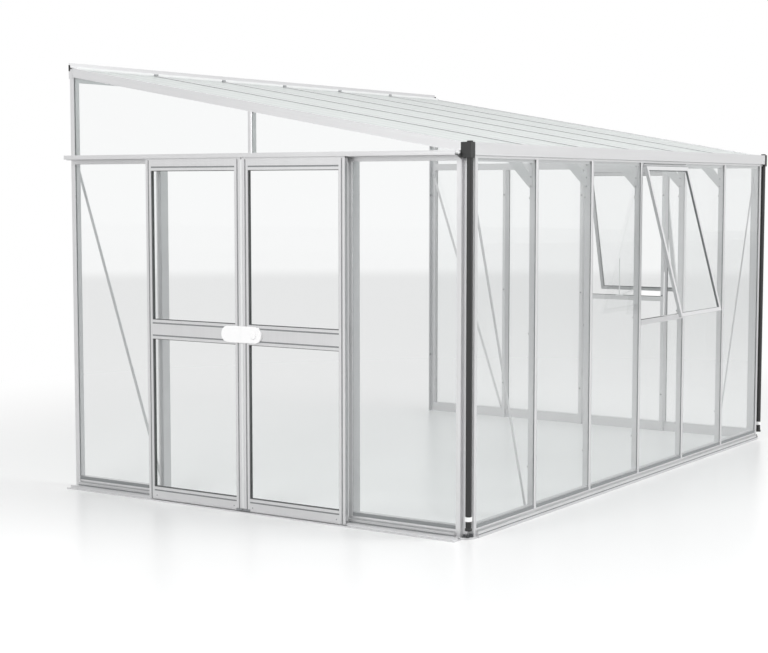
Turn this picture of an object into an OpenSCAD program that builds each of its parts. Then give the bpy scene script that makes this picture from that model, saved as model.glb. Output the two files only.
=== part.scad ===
// Lean-to greenhouse: aluminium glazing bars, clear glass walls, twin-wall roof sheets,
// two sliding doors in one gable and a top-hung window in the long side and in the far gable.
// X runs along the wall, Y runs from the eave side to the wall, Z is up, in millimetres.
// The origin is on the floor, under the outer face of the long side, at the middle of its length.

/* [Overall size] */
// Number of bays along the eave side
long_bays = 6; // [4:1:9]
// Pitch of the glazing bars
bay_w = 730; // [600:5:800]
// Distance from an outer corner to the first bar
end_bay_w = 785; // [700:5:860]
// Distance from an outer corner to the first bar of a gable
gable_end_w = 802; // [700:1:860]
// Distance from the last gable bar to the house wall
wall_bay_w = 748; // [700:1:860]
// Height of the gutter's underside above the floor
eave_h = 2130; // [1900:10:2400]
// Slope of the roof in degrees
roof_pitch = 10; // [6:0.5:16]

/* [Glazing] */
// Thickness of the wall glass
glass_t = 4; // [3:1:6]
// Thickness of the roof sheets
sheet_t = 16; // [10:1:25]
// Play between a sheet and the faces that hold it
seat_gap = 0.3; // [0.2:0.1:0.5]
// How far a sheet's edge goes into its groove
glass_bite = 12; // [8:1:14]

/* [Glazing bars] */
// Width of the outer cap of a bar
cap_w = 31; // [28:1:40]
// Thickness of the cap at its edges
cap_t = 5; // [4:0.5:8]
// Radius of the crown on the cap
crown_r = 45; // [35:5:80]
// Width of the web between cap and body
web_w = 9; // [7:1:12]
// Width of the bar's hollow body
body_w = 25; // [22:1:28]
// Depth of a wall bar from its cap to its inner face
bar_d = 50; // [44:1:64]
// Depth of a gable post from its cap to its inner face
gable_post_d = 82; // [64:1:90]
// Depth of a roof bar from its cap to its underside
roof_bar_d = 56; // [52:1:70]
// Wall thickness of the hollow sections
skin_t = 2.5; // [2:0.5:3]
// Thickness of the lips that hold a glass edge
lip_t = 3; // [2:0.5:4]

/* [Base rail] */
// Height of the base rail
rail_h = 75; // [65:1:95]
// Height of the ledge on its outer face
ledge_h = 44; // [38:1:52]
// How far its nose stands out past the caps
nose_d = 14; // [8:1:18]
// Drop of the ledge from the caps to its nose
ledge_drop = 8; // [4:1:12]
// How far the foot lip stands out past the nose
foot_lip_out = 2; // [0:0.5:4]
// Thickness of the foot lip
foot_lip_t = 4; // [3:0.5:6]

/* [Corner posts] */
// Width of each arm of a corner post
corner_w = 85; // [80:1:95]
// Outer end of the pocket that takes the downpipe
pocket_w = 55; // [50:1:58]
// Depth of that pocket in each face
pocket_d = 25; // [22:1:27]
// Thickness of the foot plate
foot_t = 12; // [8:1:16]

/* [Gable rails] */
// Distance from the gutter's underside down to the transom's underside
transom_drop = 14; // [10:2:100]
// Height of the transom
transom_h = 55; // [45:1:60]
// Width of a wall post
wall_post_w = 42; // [38:1:60]

/* [Roof and gutter] */
// Height from the gutter's underside to the top of the roof at the cap line
roof_rise = 78; // [74:1:100]
// Height of the gutter's outer face
gutter_h = 85; // [75:1:110]
// Distance that the gutter stands out past the caps
gutter_out = 16; // [10:1:30]
// Thickness of the gutter's walls
gutter_t = 3; // [2:0.5:4]
// Height of the fascia's lower edge above the gutter's underside
fascia_z = 16; // [8:1:18]
// Height of the trough's floor above the gutter's underside
trough_z = 22; // [20:1:26]
// Height of the head strip behind the glass, below the gutter
head_strip_h = 18; // [10:1:30]
// Length of an end box of the gutter
end_box_l = 45; // [40:1:60]
// Height of the wall plate above the roof's surface
plate_rise = 31; // [20:1:50]
// Depth of the wall plate's box
plate_d = 30; // [24:1:45]
// Reach of the flashing over the roof sheets
flashing_w = 50; // [40:1:80]

/* [Downpipe] */
// Outer diameter of a downpipe
pipe_d = 35; // [30:1:36]
// Wall thickness of a downpipe
pipe_t = 2; // [1.5:0.5:3]
// Height of the spigot's lower end
spigot_z = 65; // [30:1:80]
// Height of the pipe's shoulder, on which the ring bears
shoulder_z = 133; // [125:1:160]
// Height of the ring
ring_h = 25; // [15:1:30]

/* [Doors] */
// Width of one sliding door
door_w = 753; // [700:1:760]
// How far the doors' meeting edges lie past the middle gable bar, towards the wall
door_shift = 15; // [0:1:20]
// How far a door's top laps the transom
door_lap = 20; // [16:1:30]
// Height of the flange on a door's top, behind the hood's lip
top_flange_h = 12; // [10:1:14]
// Thickness of a door
door_t = 30; // [26:1:32]
// Gap between the two closed doors
door_gap = 5; // [5:1:10]
// Width of a door's outer stile
outer_stile = 44; // [36:1:56]
// Width of a door's meeting stile
meeting_stile = 49; // [40:1:60]
// Height of a door's top rail
top_rail_h = 65; // [50:1:80]
// Width of the glazing beads round a door's panes
bead_w = 17; // [12:1:22]
// Width of the groove outside a glazing bead
bead_groove_w = 9; // [5:1:12]
// Depth of that groove
bead_groove_d = 5; // [2:0.5:6]
// Height of a door's bottom rail
bottom_rail_h = 78; // [60:1:110]
// Underside of a door's middle rail
mid_rail_z = 1025; // [900:5:1200]
// Height of a door's middle rail
mid_rail_h = 120; // [80:1:140]
// Running clearance of the doors
door_clear = 6; // [5:0.5:8]
// Distance of a door's back face from the caps
door_off = 38; // [38:1:44]
// Half-length of the grip plate across both doors
grip_l = 150; // [100:5:180]
// Height of the grip plate
grip_h = 102; // [80:1:116]
// Thickness of the grip plate
grip_t = 14; // [10:1:18]
// How far the panes of a door go into its grooves
door_bite = 9; // [7:1:12]
// Distance of a hanger's middle from the door's edge
hanger_in = 90; // [60:5:150]
// Width of a hanger's plate
hanger_w = 40; // [30:1:60]
// Radius of a hanger wheel's tread
tread_r = 5; // [4:0.5:6]

/* [Windows] */
// Bay of the long side that has the window, counted from the doors
window_bay = 4; // [2:1:4]
// Height of the sill rail's underside
sill_z = 1050; // [900:5:1300]
// Height of the sill rail
sill_h = 35; // [30:1:50]
// Height of the header rail above a window
header_h = 24; // [20:1:40]
// Depth of the sill and header rails from the cap line
window_rail_d = 30; // [24:1:31]
// Opening angle of the windows as they stand
window_angle = 15; // [5:1:25]
// Width of a sash's members
sash_w = 25; // [20:1:35]
// Thickness of a sash
sash_t = 20; // [14:1:24]
// Gap between a sash and the caps beside it
sash_gap = 5; // [3:1:8]
// Distance of a window stay from the middle of its bay
stay_side = 45; // [0:5:120]
// Width of a stay's foot on the sill
stay_foot_w = 60; // [40:5:90]
// Length of the bar that stands on a stay's foot
stay_bar_h = 300; // [200:10:400]
// Diameter of that bar
stay_bar_d = 9; // [6:1:12]

/* [Braces and plates] */
// Width of a wind brace
brace_w = 20; // [15:1:30]
// Thickness of a wind brace
brace_t = 4; // [3:1:6]
// Length of a knee plate down its post
knee_down = 196; // [160:2:240]
// Length of a knee plate along its rafter
knee_along = 220; // [160:5:250]
// Thickness of a knee plate
knee_t = 4; // [3:1:6]
// Distance of a knee plate's three-cornered hole from post and rafter
knee_hole_in = 8; // [6:1:16]
// Length of that hole down the post
knee_hole_h = 92; // [60:2:110]
// Length of that hole along the rafter
knee_hole_w = 84; // [60:2:110]
// Radius of the wall fixing holes
fix_r = 4.5; // [3:0.5:6]
// Height of the lower wall fixing of a wall post
wall_fix_low = 500; // [300:50:900]
// Distance of the upper wall fixing below the gutter's underside
wall_fix_drop = 230; // [150:10:400]
// Height of the screw leaf below the wall plate
fix_leaf_h = 30; // [24:1:40]

/* [Hidden] */
$fn = 48;
eps = 0.01;
gable_bays = 4;
posts = long_bays - 1;
length = 2 * end_bay_w + (long_bays - 2) * bay_w;
depth = gable_end_w + (gable_bays - 2) * bay_w + wall_bay_w;
rebate = lip_t + 2 * seat_gap + glass_t;
glass_y = cap_t + lip_t + seat_gap;
body_y = cap_t + rebate;
pane_play = 2;
groove_d = glass_bite + 1;
rail_groove_z = rail_h - glass_bite - 3;
pane_low = rail_groove_z + seat_gap;
transom_z = eave_h - transom_drop;
transom_top = transom_z + transom_h;

// Roof levels, measured square to the roof below the caps' top face.
sheet_rebate = sheet_t + 2 * seat_gap;
roof_body = cap_t + sheet_rebate;
roof_z0 = eave_h + roof_rise;
function roof_z(y, below = 0) = roof_z0 + y * tan(roof_pitch) - below / cos(roof_pitch);

trough_back_y = bar_d - 1;
sheet_low_y = 8;
box_out = 20;
verge_w = 45;
plate_front_y = depth - plate_d;
plate_z = roof_z(plate_front_y, roof_bar_d + 3);
wall_cap_w = 31;
fix_leaf_t = 6;
fix_leaf_w = 30;
wall_fix_z = [wall_fix_low, eave_h - wall_fix_drop];
plate_fix_x = [for (i = [0 : posts]) (i + 0.5) * length / long_bays];
plate_leaf_t = 4;
flashing_t = 3;
foot_in = 4;

door_mid_y = gable_end_w + bay_w + door_shift;
door_bottom = 10;
track_floor = door_bottom - 5;
track_from = 40;
track_end = 10;
track_plate_in = nose_d + foot_lip_out;
track_lip_t = 4;
rail_arm_t = 3;
rail_rise = 5;
door_top = transom_z + door_lap;
arm_z = door_top + door_clear;
rail_top = arm_z + rail_arm_t + rail_rise;
wheel_z = rail_top + seat_gap + tread_r;
flange_r = tread_r + 3;
hood_under = wheel_z + flange_r + door_clear;
hood_t = 3;
hood_lip_t = 4;
hood_leaf_t = 6;
hood_leaf_low = transom_z + 5;
hood_from = trough_back_y + 3;
hood_end = 18;
door_front = door_off + door_t;
hood_d = door_front + door_clear + hood_lip_t;
track_d = hood_d + 12;
guide_t = 3;
guide_u = door_off + door_t / 2 - guide_t / 2;
guide_rise = 10;
top_flange_t = 3;
hanger_t = 3;
axle_r = 3;
wheel_w = 12;
shadow_d = 2;
shadow_w = 4;
head_strip_t = 8;
door_light_w = door_w - outer_stile - meeting_stile;
door_lights = [[door_bottom + bottom_rail_h, mid_rail_z],
    [mid_rail_z + mid_rail_h, door_top - top_rail_h]];
grip_z = mid_rail_z + mid_rail_h / 2;
knob_r = 9;
knob_in = 95;
knob_t = 3;

hinge_drop = 5;
hinge_out = 8;
hinge_r = 4;
hinge_wall = 3;
hinge_neck_t = 2;
sash_in = hinge_out - 1;
sash_lap = 5;
sash_clear_w = bay_w - cap_w - 2 * sash_gap;
sash_mid = sash_in - sash_t / 2 - glass_t / 2 - seat_gap;
sash_bite = glass_bite - 3;
ring_r = hinge_r + seat_gap + hinge_wall;
stay_foot_y = 6;
stay_foot_d = 16;
stay_foot_t = 4;
stay_arm_w = 10;
stay_arm_t = 3;
brace_in = 36;
brace_lap = 18;
knee_lap_y = window_rail_d + 2;
knee_top_gap = 5;
knee_lap = 20;
// Height of a sash from its hinge line, for a window whose header ends at a given height.
function sash_h(top) = top - header_h + hinge_drop - sill_z - sill_h + sash_lap;
pipe_c = 4;
spigot_d = pipe_d - 4;
ring_t = 3;

function post_x(i) = end_bay_w + (i - 1) * bay_w;
function gable_y(i) = gable_end_w + (i - 1) * bay_w;

LONG_POSTS = [for (i = [1 : posts]) str("long_post_", i)];
RAFTERS = [for (i = [1 : posts]) str("rafter_", i)];

// Places: the frame is drawn from the outer corner at the doors, with u along X.
module from_corner() translate([-length / 2, 0, 0]) children();
module at_far_end() translate([length, 0, 0]) mirror([1, 0, 0]) children();
// Stands a section in the gable plane: its width runs along Y and its depth along X.
module in_gable() mirror([1, -1, 0]) children();

// Keeps what lies under the roof line, at a depth below the caps' top face.
module under_roof(below) {
    intersection() {
        children();
        rotate([90, 0, 90])
            linear_extrude(height = length)
                polygon([[-depth, -1], [depth, -1], [depth, roof_z(depth, below)],
                    [-depth, roof_z(-depth, below)]]);
    }
}

// The crowned cap of a bar in section, with its outer face on the width axis.
module cap_section() intersection() {
    translate([-cap_w / 2, 0]) square([cap_w, cap_t]);
    translate([0, crown_r]) circle(r = crown_r);
}

// A glazing bar in section: cap, web and hollow body behind the sheet's groove.
module bar_section(groove, section_d) {
    body_top = cap_t + groove;
    cap_section();
    translate([-web_w / 2, cap_t - 1]) square([web_w, groove + 2]);
    difference() {
        translate([-body_w / 2, body_top]) square([body_w, section_d - body_top]);
        translate([-body_w / 2 + skin_t, body_top + skin_t])
            square([body_w - 2 * skin_t, section_d - body_top - 2 * skin_t]);
    }
}

// A wall bar between two heights; its cap starts lower, where it laps the base rail.
module wall_bar(low, high, cap_low, section_d = bar_d) {
    translate([0, 0, low]) linear_extrude(height = high - low) bar_section(rebate, section_d);
    translate([0, 0, cap_low]) linear_extrude(height = low - cap_low + eps) cap_section();
}

// The base rail in section: depth from the cap line along the first axis, height along the second.
module base_rail_section() {
    foot_out = nose_d + foot_lip_out;
    nose_in = nose_d - shadow_d;
    wall = skin_t + 1.5;
    low_h = ledge_h - ledge_drop - 2 * wall;
    difference() {
        polygon([[-foot_out, 0], [-foot_out, foot_lip_t], [-nose_in, foot_lip_t + 1],
            [-nose_d, foot_lip_t + shadow_w], [-nose_d, ledge_h - ledge_drop], [cap_t, ledge_h],
            [cap_t, rail_h], [cap_t + lip_t, rail_h], [cap_t + lip_t, rail_groove_z],
            [body_y, rail_groove_z], [body_y, rail_h], [bar_d, rail_h], [bar_d, 0]]);
        translate([-nose_in + wall, wall]) square([bar_d + nose_in - 2 * wall, low_h]);
        translate([body_y + wall, low_h + 2 * wall])
            square([bar_d - body_y - 2 * wall, rail_h - low_h - 3 * wall]);
    }
}

module base_rail(from, to) {
    translate([from, 0, 0]) rotate([90, 0, 90]) linear_extrude(height = to - from)
        base_rail_section();
}

module base_rail_long() color("silver") from_corner()
    base_rail(corner_w, length - corner_w);

module base_rail_doors() color("silver") from_corner() in_gable() {
    base_rail(corner_w, gable_y(1) + cap_w / 2);
    base_rail(gable_y(3) - cap_w / 2, depth - wall_post_w);
}

module base_rail_far() color("silver") from_corner() at_far_end() in_gable()
    base_rail(corner_w, depth - wall_post_w);

// Two arms with a glass rebate each, round a pocket in the outer corner.
module corner_section() {
    web_at = corner_w - groove_d;
    difference() {
        polygon([[pocket_w, 0], [corner_w, 0], [corner_w, cap_t], [web_at, cap_t],
            [web_at, body_y], [corner_w, body_y], [corner_w, bar_d], [bar_d, bar_d],
            [bar_d, corner_w], [body_y, corner_w], [body_y, web_at], [cap_t, web_at],
            [cap_t, corner_w], [0, corner_w], [0, pocket_w], [pocket_d, pocket_w],
            [pocket_d, pocket_d], [pocket_w, pocket_d]]);
        for (side = [0, 1]) mirror([side, -side, 0])
            translate([pocket_w + skin_t, body_y + skin_t])
                square([corner_w - pocket_w - 2 * skin_t, bar_d - body_y - 2 * skin_t]);
    }
}

module corner_post() {
    arm_h = roof_z(corner_w) - eave_h;
    foot_out = nose_d - foot_in;
    foot_cut = pocket_w - 2 * foot_in;
    linear_extrude(height = eave_h) corner_section();
    // The gable arm runs on behind the gutter up to the verge.
    under_roof(roof_bar_d) translate([0, 0, eave_h - 1]) linear_extrude(height = arm_h)
        intersection() {
            corner_section();
            translate([0, bar_d]) square([verge_w, corner_w - bar_d]);
        }
    linear_extrude(height = foot_t)
        polygon([[-foot_out, corner_w], [-foot_out, foot_cut], [foot_cut, -foot_out],
            [corner_w, -foot_out], [corner_w, foot_out], [foot_out, corner_w]]);
}

module corner_post_doors() color("silver") from_corner() corner_post();
module corner_post_far() color("silver") from_corner() at_far_end() corner_post();

// The post on the house wall: a glass rebate on the gable side and a leaf for the wall screws.
module wall_post() {
    front_y = depth - wall_post_w;
    web_y = front_y + groove_d;
    difference() {
        under_roof(roof_bar_d + seat_gap) linear_extrude(height = roof_z(depth))
            difference() {
                polygon([[0, front_y], [cap_t, front_y], [cap_t, web_y], [body_y, web_y],
                    [body_y, front_y], [bar_d, front_y], [bar_d, depth - fix_leaf_t],
                    [bar_d + fix_leaf_w, depth - fix_leaf_t], [bar_d + fix_leaf_w, depth],
                    [8, depth], [8, front_y + wall_cap_w], [0, front_y + wall_cap_w]]);
                translate([body_y + skin_t, front_y + skin_t])
                    square([bar_d - body_y - 2 * skin_t, wall_post_w - 2 * skin_t]);
            }
        translate([-1, plate_front_y, plate_z]) cube([length, plate_d + 1, plate_z]);
        for (z = wall_fix_z)
            translate([bar_d + fix_leaf_w / 2, depth - fix_leaf_t - 1, z]) rotate([-90, 0, 0])
                cylinder(r = fix_r, h = fix_leaf_t + 2);
    }
}

module wall_posts() color("silver") from_corner() {
    wall_post();
    at_far_end() wall_post();
}

module long_post(i) color("silver") from_corner() translate([post_x(i), 0, 0])
    wall_bar(rail_h, eave_h, ledge_h);

// Roof pieces are drawn flat, with depth below the caps' top face, and tilted to the slope.
module on_slope(from_y, to_y) {
    intersection() {
        translate([0, 0, roof_z0]) rotate([roof_pitch, 0, 0])
            rotate([-90, 0, 0]) translate([0, 0, -100])
                linear_extrude(height = depth * 1.1 + 200) children();
        translate([-length, from_y, 0]) cube([3 * length, to_y - from_y, 2 * roof_z0]);
    }
}

module rafter(i) color("silver") from_corner() translate([post_x(i), 0, 0]) {
    on_slope(trough_back_y, plate_front_y) bar_section(sheet_rebate, roof_bar_d);
    // Cap and web run on over the gutter and its back wall.
    on_slope(sheet_low_y, trough_back_y + eps) {
        translate([-web_w / 2, cap_t - 1]) square([web_w, sheet_rebate + 1]);
        cap_section();
    }
}

// The bar on each gable's edge: roof sheet above, gable glass below.
module verge_section() {
    groove_x = cap_t + lip_t;
    groove_top = roof_bar_d - groove_d - 1;
    difference() {
        polygon([[0, 0], [cap_w, 0], [cap_w, cap_t], [body_y, cap_t], [body_y, roof_body],
            [verge_w, roof_body], [verge_w, roof_bar_d], [body_y, roof_bar_d],
            [body_y, groove_top], [groove_x, groove_top],
            [groove_x, roof_bar_d], [0, roof_bar_d]]);
        translate([body_y + skin_t, roof_body + skin_t])
            square([verge_w - body_y - 2 * skin_t, roof_bar_d - roof_body - 2 * skin_t]);
    }
}

module verge() on_slope(trough_back_y, plate_front_y) verge_section();
module verges() color("silver") from_corner() {
    verge();
    at_far_end() verge();
}

function sheet_start(i) = i == 0 ? body_y + pane_play : post_x(i) + web_w / 2 + pane_play;
function sheet_end(i) = i == posts ? length - body_y - pane_play
    : post_x(i + 1) - web_w / 2 - pane_play;

module roof_sheets() color([0.9, 0.92, 0.93, 0.7]) from_corner()
    for (i = [0 : posts])
        on_slope(sheet_low_y, plate_front_y - 1)
            translate([sheet_start(i), cap_t + seat_gap])
                square([sheet_end(i) - sheet_start(i), sheet_t]);

// Trough, back wall up to the sheets, and the head groove of the long side's glass.
module gutter_section() {
    back = trough_back_y;
    inner = back - gutter_t;
    difference() {
        polygon([[cap_t, 0], [0, 0], [0, fascia_z - gutter_t], [-gutter_out, fascia_z],
            [-gutter_out, gutter_h],
            [-gutter_out + gutter_t, gutter_h], [-gutter_out + gutter_t, trough_z],
            [inner, trough_z], [inner, roof_z(inner, roof_body) - eave_h],
            [back, roof_z(back, roof_body) - eave_h], [back, 0], [body_y, 0],
            [body_y, groove_d], [cap_t + lip_t, groove_d], [cap_t + lip_t, 0]]);
        translate([body_y + skin_t, skin_t])
            square([back - body_y - 2 * skin_t, trough_z - 2 * skin_t]);
    }
}

module gutter() color("gainsboro") from_corner()
    translate([end_box_l - box_out, 0, eave_h]) rotate([90, 0, 90])
        linear_extrude(height = length - 2 * (end_box_l - box_out)) gutter_section();

module gutter_end() {
    box_h = gutter_h + 2;
    box_d = gutter_out + trough_back_y;
    inner_d = box_d - 2 * gutter_t;
    sheet_low = roof_z(trough_back_y - gutter_t, roof_body) - eave_h;
    pipe_x = pipe_c + box_out;
    pipe_y = pipe_c + gutter_out;
    translate([-box_out, -gutter_out, eave_h]) difference() {
        union() {
            cube([end_box_l, box_d, box_h]);
            translate([pipe_x, pipe_y, 0]) cylinder(d = pipe_d, h = box_h + gutter_t);
        }
        translate([gutter_t, gutter_t, trough_z])
            cube([end_box_l, inner_d, box_h - trough_z - gutter_t]);
        // The first roof sheet passes through the back wall.
        translate([box_out + body_y, box_d - gutter_t - 1, sheet_low])
            cube([end_box_l, gutter_t + 2, box_h - gutter_t - sheet_low]);
        translate([pipe_x, pipe_y, -1]) cylinder(r = pipe_d / 2 + seat_gap, h = trough_z + 2);
    }
}

module gutter_ends() color([0.25, 0.25, 0.25]) from_corner() {
    gutter_end();
    at_far_end() gutter_end();
}

module downpipe() translate([pipe_c, pipe_c, 0]) difference() {
    union() {
        translate([0, 0, shoulder_z]) cylinder(d = pipe_d, h = eave_h + trough_z - shoulder_z);
        translate([0, 0, spigot_z]) cylinder(d = spigot_d, h = shoulder_z - spigot_z + 1);
    }
    translate([0, 0, spigot_z - 1]) cylinder(d = spigot_d - 2 * pipe_t, h = eave_h + trough_z);
}

module downpipes() color([0.25, 0.25, 0.25]) from_corner() {
    downpipe();
    at_far_end() downpipe();
}

module pipe_ring() translate([pipe_c, pipe_c, shoulder_z - ring_h]) difference() {
    cylinder(d = pipe_d + 2 * ring_t, h = ring_h);
    translate([0, 0, -1]) cylinder(d = spigot_d + 2 * seat_gap, h = ring_h + 2);
}

module pipe_rings() color("white") from_corner() {
    pipe_ring();
    at_far_end() pipe_ring();
}

// Box for the rafters' ends, a leaf up the wall, a flashing over the sheets and a screw leaf below.
module wall_plate() color("silver") from_corner() {
    flash_y = depth - flashing_w;
    flash_z = roof_z(flash_y) + seat_gap;
    leaf_y = depth - plate_leaf_t;
    neck_y = depth - fix_leaf_t;
    top = roof_z(depth) + plate_rise;
    rotate([90, 0, 90]) linear_extrude(height = length) difference() {
        polygon([[plate_front_y, plate_z], [depth, plate_z], [depth, top], [leaf_y, top],
            [leaf_y, roof_z(leaf_y) + seat_gap + 2 * flashing_t],
            [flash_y, flash_z + flashing_t], [flash_y, flash_z],
            [neck_y, roof_z(neck_y) + seat_gap], [neck_y, roof_z(depth, cap_t)],
            [plate_front_y, roof_z(plate_front_y, cap_t)]]);
        translate([plate_front_y + skin_t, plate_z + skin_t])
            square([plate_d - 2 * skin_t, roof_bar_d - 2 * fix_leaf_t]);
    }
    difference() {
        translate([bar_d + fix_leaf_w, neck_y, plate_z - fix_leaf_h])
            cube([length - 2 * (bar_d + fix_leaf_w), fix_leaf_t, fix_leaf_h + 1]);
        for (u = plate_fix_x)
            translate([u, neck_y - 1, plate_z - fix_leaf_h / 2]) rotate([-90, 0, 0])
                cylinder(r = fix_r, h = fix_leaf_t + 2);
    }
}

// Rails between bars touch the bodies of the bars and the edges of their caps.
module rail_between(from, to, low, high, front = 0) {
    translate([from + cap_w / 2, front, low])
        cube([to - from - cap_w, window_rail_d - front, high - low]);
    translate([from + body_w / 2, body_y, low])
        cube([to - from - body_w, window_rail_d - body_y, high - low]);
}

// A groove for the edge of a pane, cut up into a rail from its underside or down from its top.
module pane_groove(from, to, low, high)
    translate([from, cap_t + lip_t, low])
        cube([to - from, body_y - cap_t - lip_t, high - low]);

module transom() in_gable() {
    from = corner_w;
    to = depth - wall_post_w;
    difference() {
        translate([from, 0, transom_z]) cube([to - from, bar_d, transom_h]);
        pane_groove(from - 1, to + 1, transom_z - 1, transom_z + groove_d);
        pane_groove(from - 1, to + 1, transom_top - groove_d, transom_top + 1);
    }
}

// Strip between two bars of the long side, behind the head of their pane, up to the gutter.
module head_strip(i) {
    from = i == 0 ? corner_w : post_x(i) + body_w / 2;
    to = i == posts ? length - corner_w : post_x(i + 1) - body_w / 2;
    translate([from, body_y, eave_h - head_strip_h]) cube([to - from, head_strip_t, head_strip_h]);
}

module transoms() color("silver") from_corner() {
    under_roof(roof_bar_d + seat_gap) {
        transom();
        at_far_end() transom();
    }
    for (i = [0 : posts]) if (i != window_bay - 1) head_strip(i);
}

module gable_mullion() in_gable() translate([gable_y(2), 0, 0])
    wall_bar(transom_top, roof_z(depth), transom_top);

// A gable post is deeper than a wall bar; its inner part stands on the floor behind the rail.
module gable_post(i) in_gable() translate([gable_y(i), 0, 0]) {
    wall_bar(rail_h, transom_z, ledge_h, gable_post_d);
    translate([-body_w / 2, bar_d, 0]) cube([body_w, gable_post_d - bar_d, rail_h + 1]);
}

module gable_posts_doors() color("silver") from_corner() {
    for (i = [1, gable_bays - 1]) gable_post(i);
    under_roof(roof_bar_d) gable_mullion();
}

module gable_posts_far() color("silver") from_corner() at_far_end() {
    for (i = [1 : gable_bays - 1]) gable_post(i);
    under_roof(roof_bar_d) gable_mullion();
}

// Hood over the doors: a leaf on the transom, a running rail, a front lip and an eave end plate.
module door_hood() color("gainsboro") from_corner() {
    rail_far = guide_u + rail_arm_t;
    lip_u = hood_d - hood_lip_t;
    lip_z = arm_z + rail_arm_t + 1;
    hood_top = hood_under + hood_t;
    translate([0, hood_from, 0]) mirror([1, 0, 0]) rotate([90, 0, 0]) mirror([0, 0, 1]) {
        linear_extrude(height = depth - hood_end - hood_from)
            polygon([[0, hood_leaf_low], [hood_leaf_t, hood_leaf_low], [hood_leaf_t, arm_z],
                [rail_far, arm_z], [rail_far, rail_top], [guide_u, rail_top],
                [guide_u, arm_z + rail_arm_t], [hood_leaf_t, arm_z + rail_arm_t],
                [hood_leaf_t, hood_under], [lip_u, hood_under], [lip_u, lip_z],
                [hood_d, lip_z], [hood_d, hood_top], [0, hood_top]]);
        linear_extrude(height = hood_t)
            polygon([[0, hood_leaf_low], [hood_leaf_t, hood_leaf_low], [rail_far, arm_z],
                [hood_d, lip_z], [hood_d, hood_top], [0, hood_top]]);
    }
}

// Floor track with its guide rib; it widens to a threshold between the door posts.
module door_track() color("gainsboro") from_corner() {
    run = depth - track_end - track_from;
    sill_in = track_plate_in + 1;
    translate([-track_d, track_from, 0]) {
        cube([track_d - track_plate_in, run, track_floor]);
        cube([track_lip_t, run, track_floor + shadow_d + 1]);
        translate([track_d - guide_u - guide_t, 0, 0])
            cube([guide_t, run, door_bottom + guide_rise]);
    }
    translate([-sill_in, gable_y(1) + cap_w / 2, 0])
        cube([sill_in + bar_d, gable_y(3) - gable_y(1) - cap_w, track_floor]);
}

// A pane between two upright bars, with its edges in their rebates.
module pane(from, to, low, high)
    translate([from, glass_y, low]) cube([to - from, glass_t, high - low]);

function pane_from(i) = i == 0 ? corner_w - groove_d + pane_play
    : post_x(i) + web_w / 2 + pane_play;
function pane_to(i) = i == posts ? length - pane_from(0)
    : post_x(i + 1) - web_w / 2 - pane_play;
function gable_from(i) = i == 0 ? pane_from(0) : gable_y(i) + web_w / 2 + pane_play;
function gable_to(i) = i == gable_bays - 1 ? depth - wall_post_w + groove_d - pane_play
    : gable_y(i + 1) - web_w / 2 - pane_play;

module glass_long() color([0.8, 0.9, 0.9, 0.35]) from_corner()
    for (i = [0 : posts])
        pane(pane_from(i), pane_to(i), pane_low,
            i == window_bay - 1 ? sill_z + glass_bite : eave_h + glass_bite);

// The two panes above a transom follow the roof line.
module gable_top_panes() in_gable()
    for (side = [0, 1])
        pane(gable_from(2 * side), gable_to(side == 0 ? 1 : gable_bays - 1),
            transom_top - glass_bite, roof_z(depth));

module glass_doors_gable() color([0.8, 0.9, 0.9, 0.35]) from_corner() {
    in_gable() for (i = [0, gable_bays - 1])
        pane(gable_from(i), gable_to(i), pane_low, transom_z + glass_bite);
    under_roof(roof_bar_d - glass_bite) gable_top_panes();
}

module glass_far_gable() color([0.8, 0.9, 0.9, 0.35]) from_corner() at_far_end() {
    in_gable() for (i = [0 : gable_bays - 1])
        pane(gable_from(i), gable_to(i), pane_low,
            i == 1 ? sill_z + glass_bite : transom_z + glass_bite);
    under_roof(roof_bar_d - glass_bite) gable_top_panes();
}

// A flat bar between two points of the plane just inside the wall bars.
module brace(x1, z1, x2, z2) {
    run = x2 - x1;
    rise = z2 - z1;
    translate([x1, bar_d, z1]) rotate([0, -atan2(rise, run), 0])
        translate([0, 0, -brace_w / 2]) cube([sqrt(run * run + rise * rise), brace_t, brace_w]);
}

module long_brace()
    brace(post_x(1) - brace_in, rail_h - brace_lap, bar_d + brace_lap, eave_h - brace_in);
module gable_brace() in_gable()
    brace(gable_y(3) + body_w / 2 + brace_w / 2, rail_h - brace_lap,
        depth - wall_post_w / 2, transom_z - brace_w);

module wind_braces() color("silver") from_corner() {
    long_brace();
    gable_brace();
    at_far_end() {
        long_brace();
        gable_brace();
    }
}

// Triangular plates that tie each post of the long side to its rafter.
module knee_plates() color("silver") from_corner()
    for (i = [1 : posts]) {
        along_y = bar_d + knee_along;
        low = roof_z(bar_d, roof_bar_d);
        along_z = roof_z(along_y, roof_bar_d);
        top = eave_h - knee_top_gap;
        translate([post_x(i) - body_w / 2 - knee_t, 0, 0]) rotate([90, 0, 90])
            linear_extrude(height = knee_t) difference() {
                polygon([[knee_lap_y, top], [knee_lap_y, low - knee_down],
                    [bar_d, low - knee_down], [along_y, along_z],
                    [along_y - knee_lap / 2, along_z + knee_lap],
                    [bar_d, low + knee_lap], [bar_d, top]]);
                translate([bar_d + knee_hole_in, low - knee_hole_in])
                    polygon([[0, -knee_hole_h], [0, 0],
                        [knee_hole_w, knee_hole_w * tan(roof_pitch)]]);
            }
    }

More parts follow.
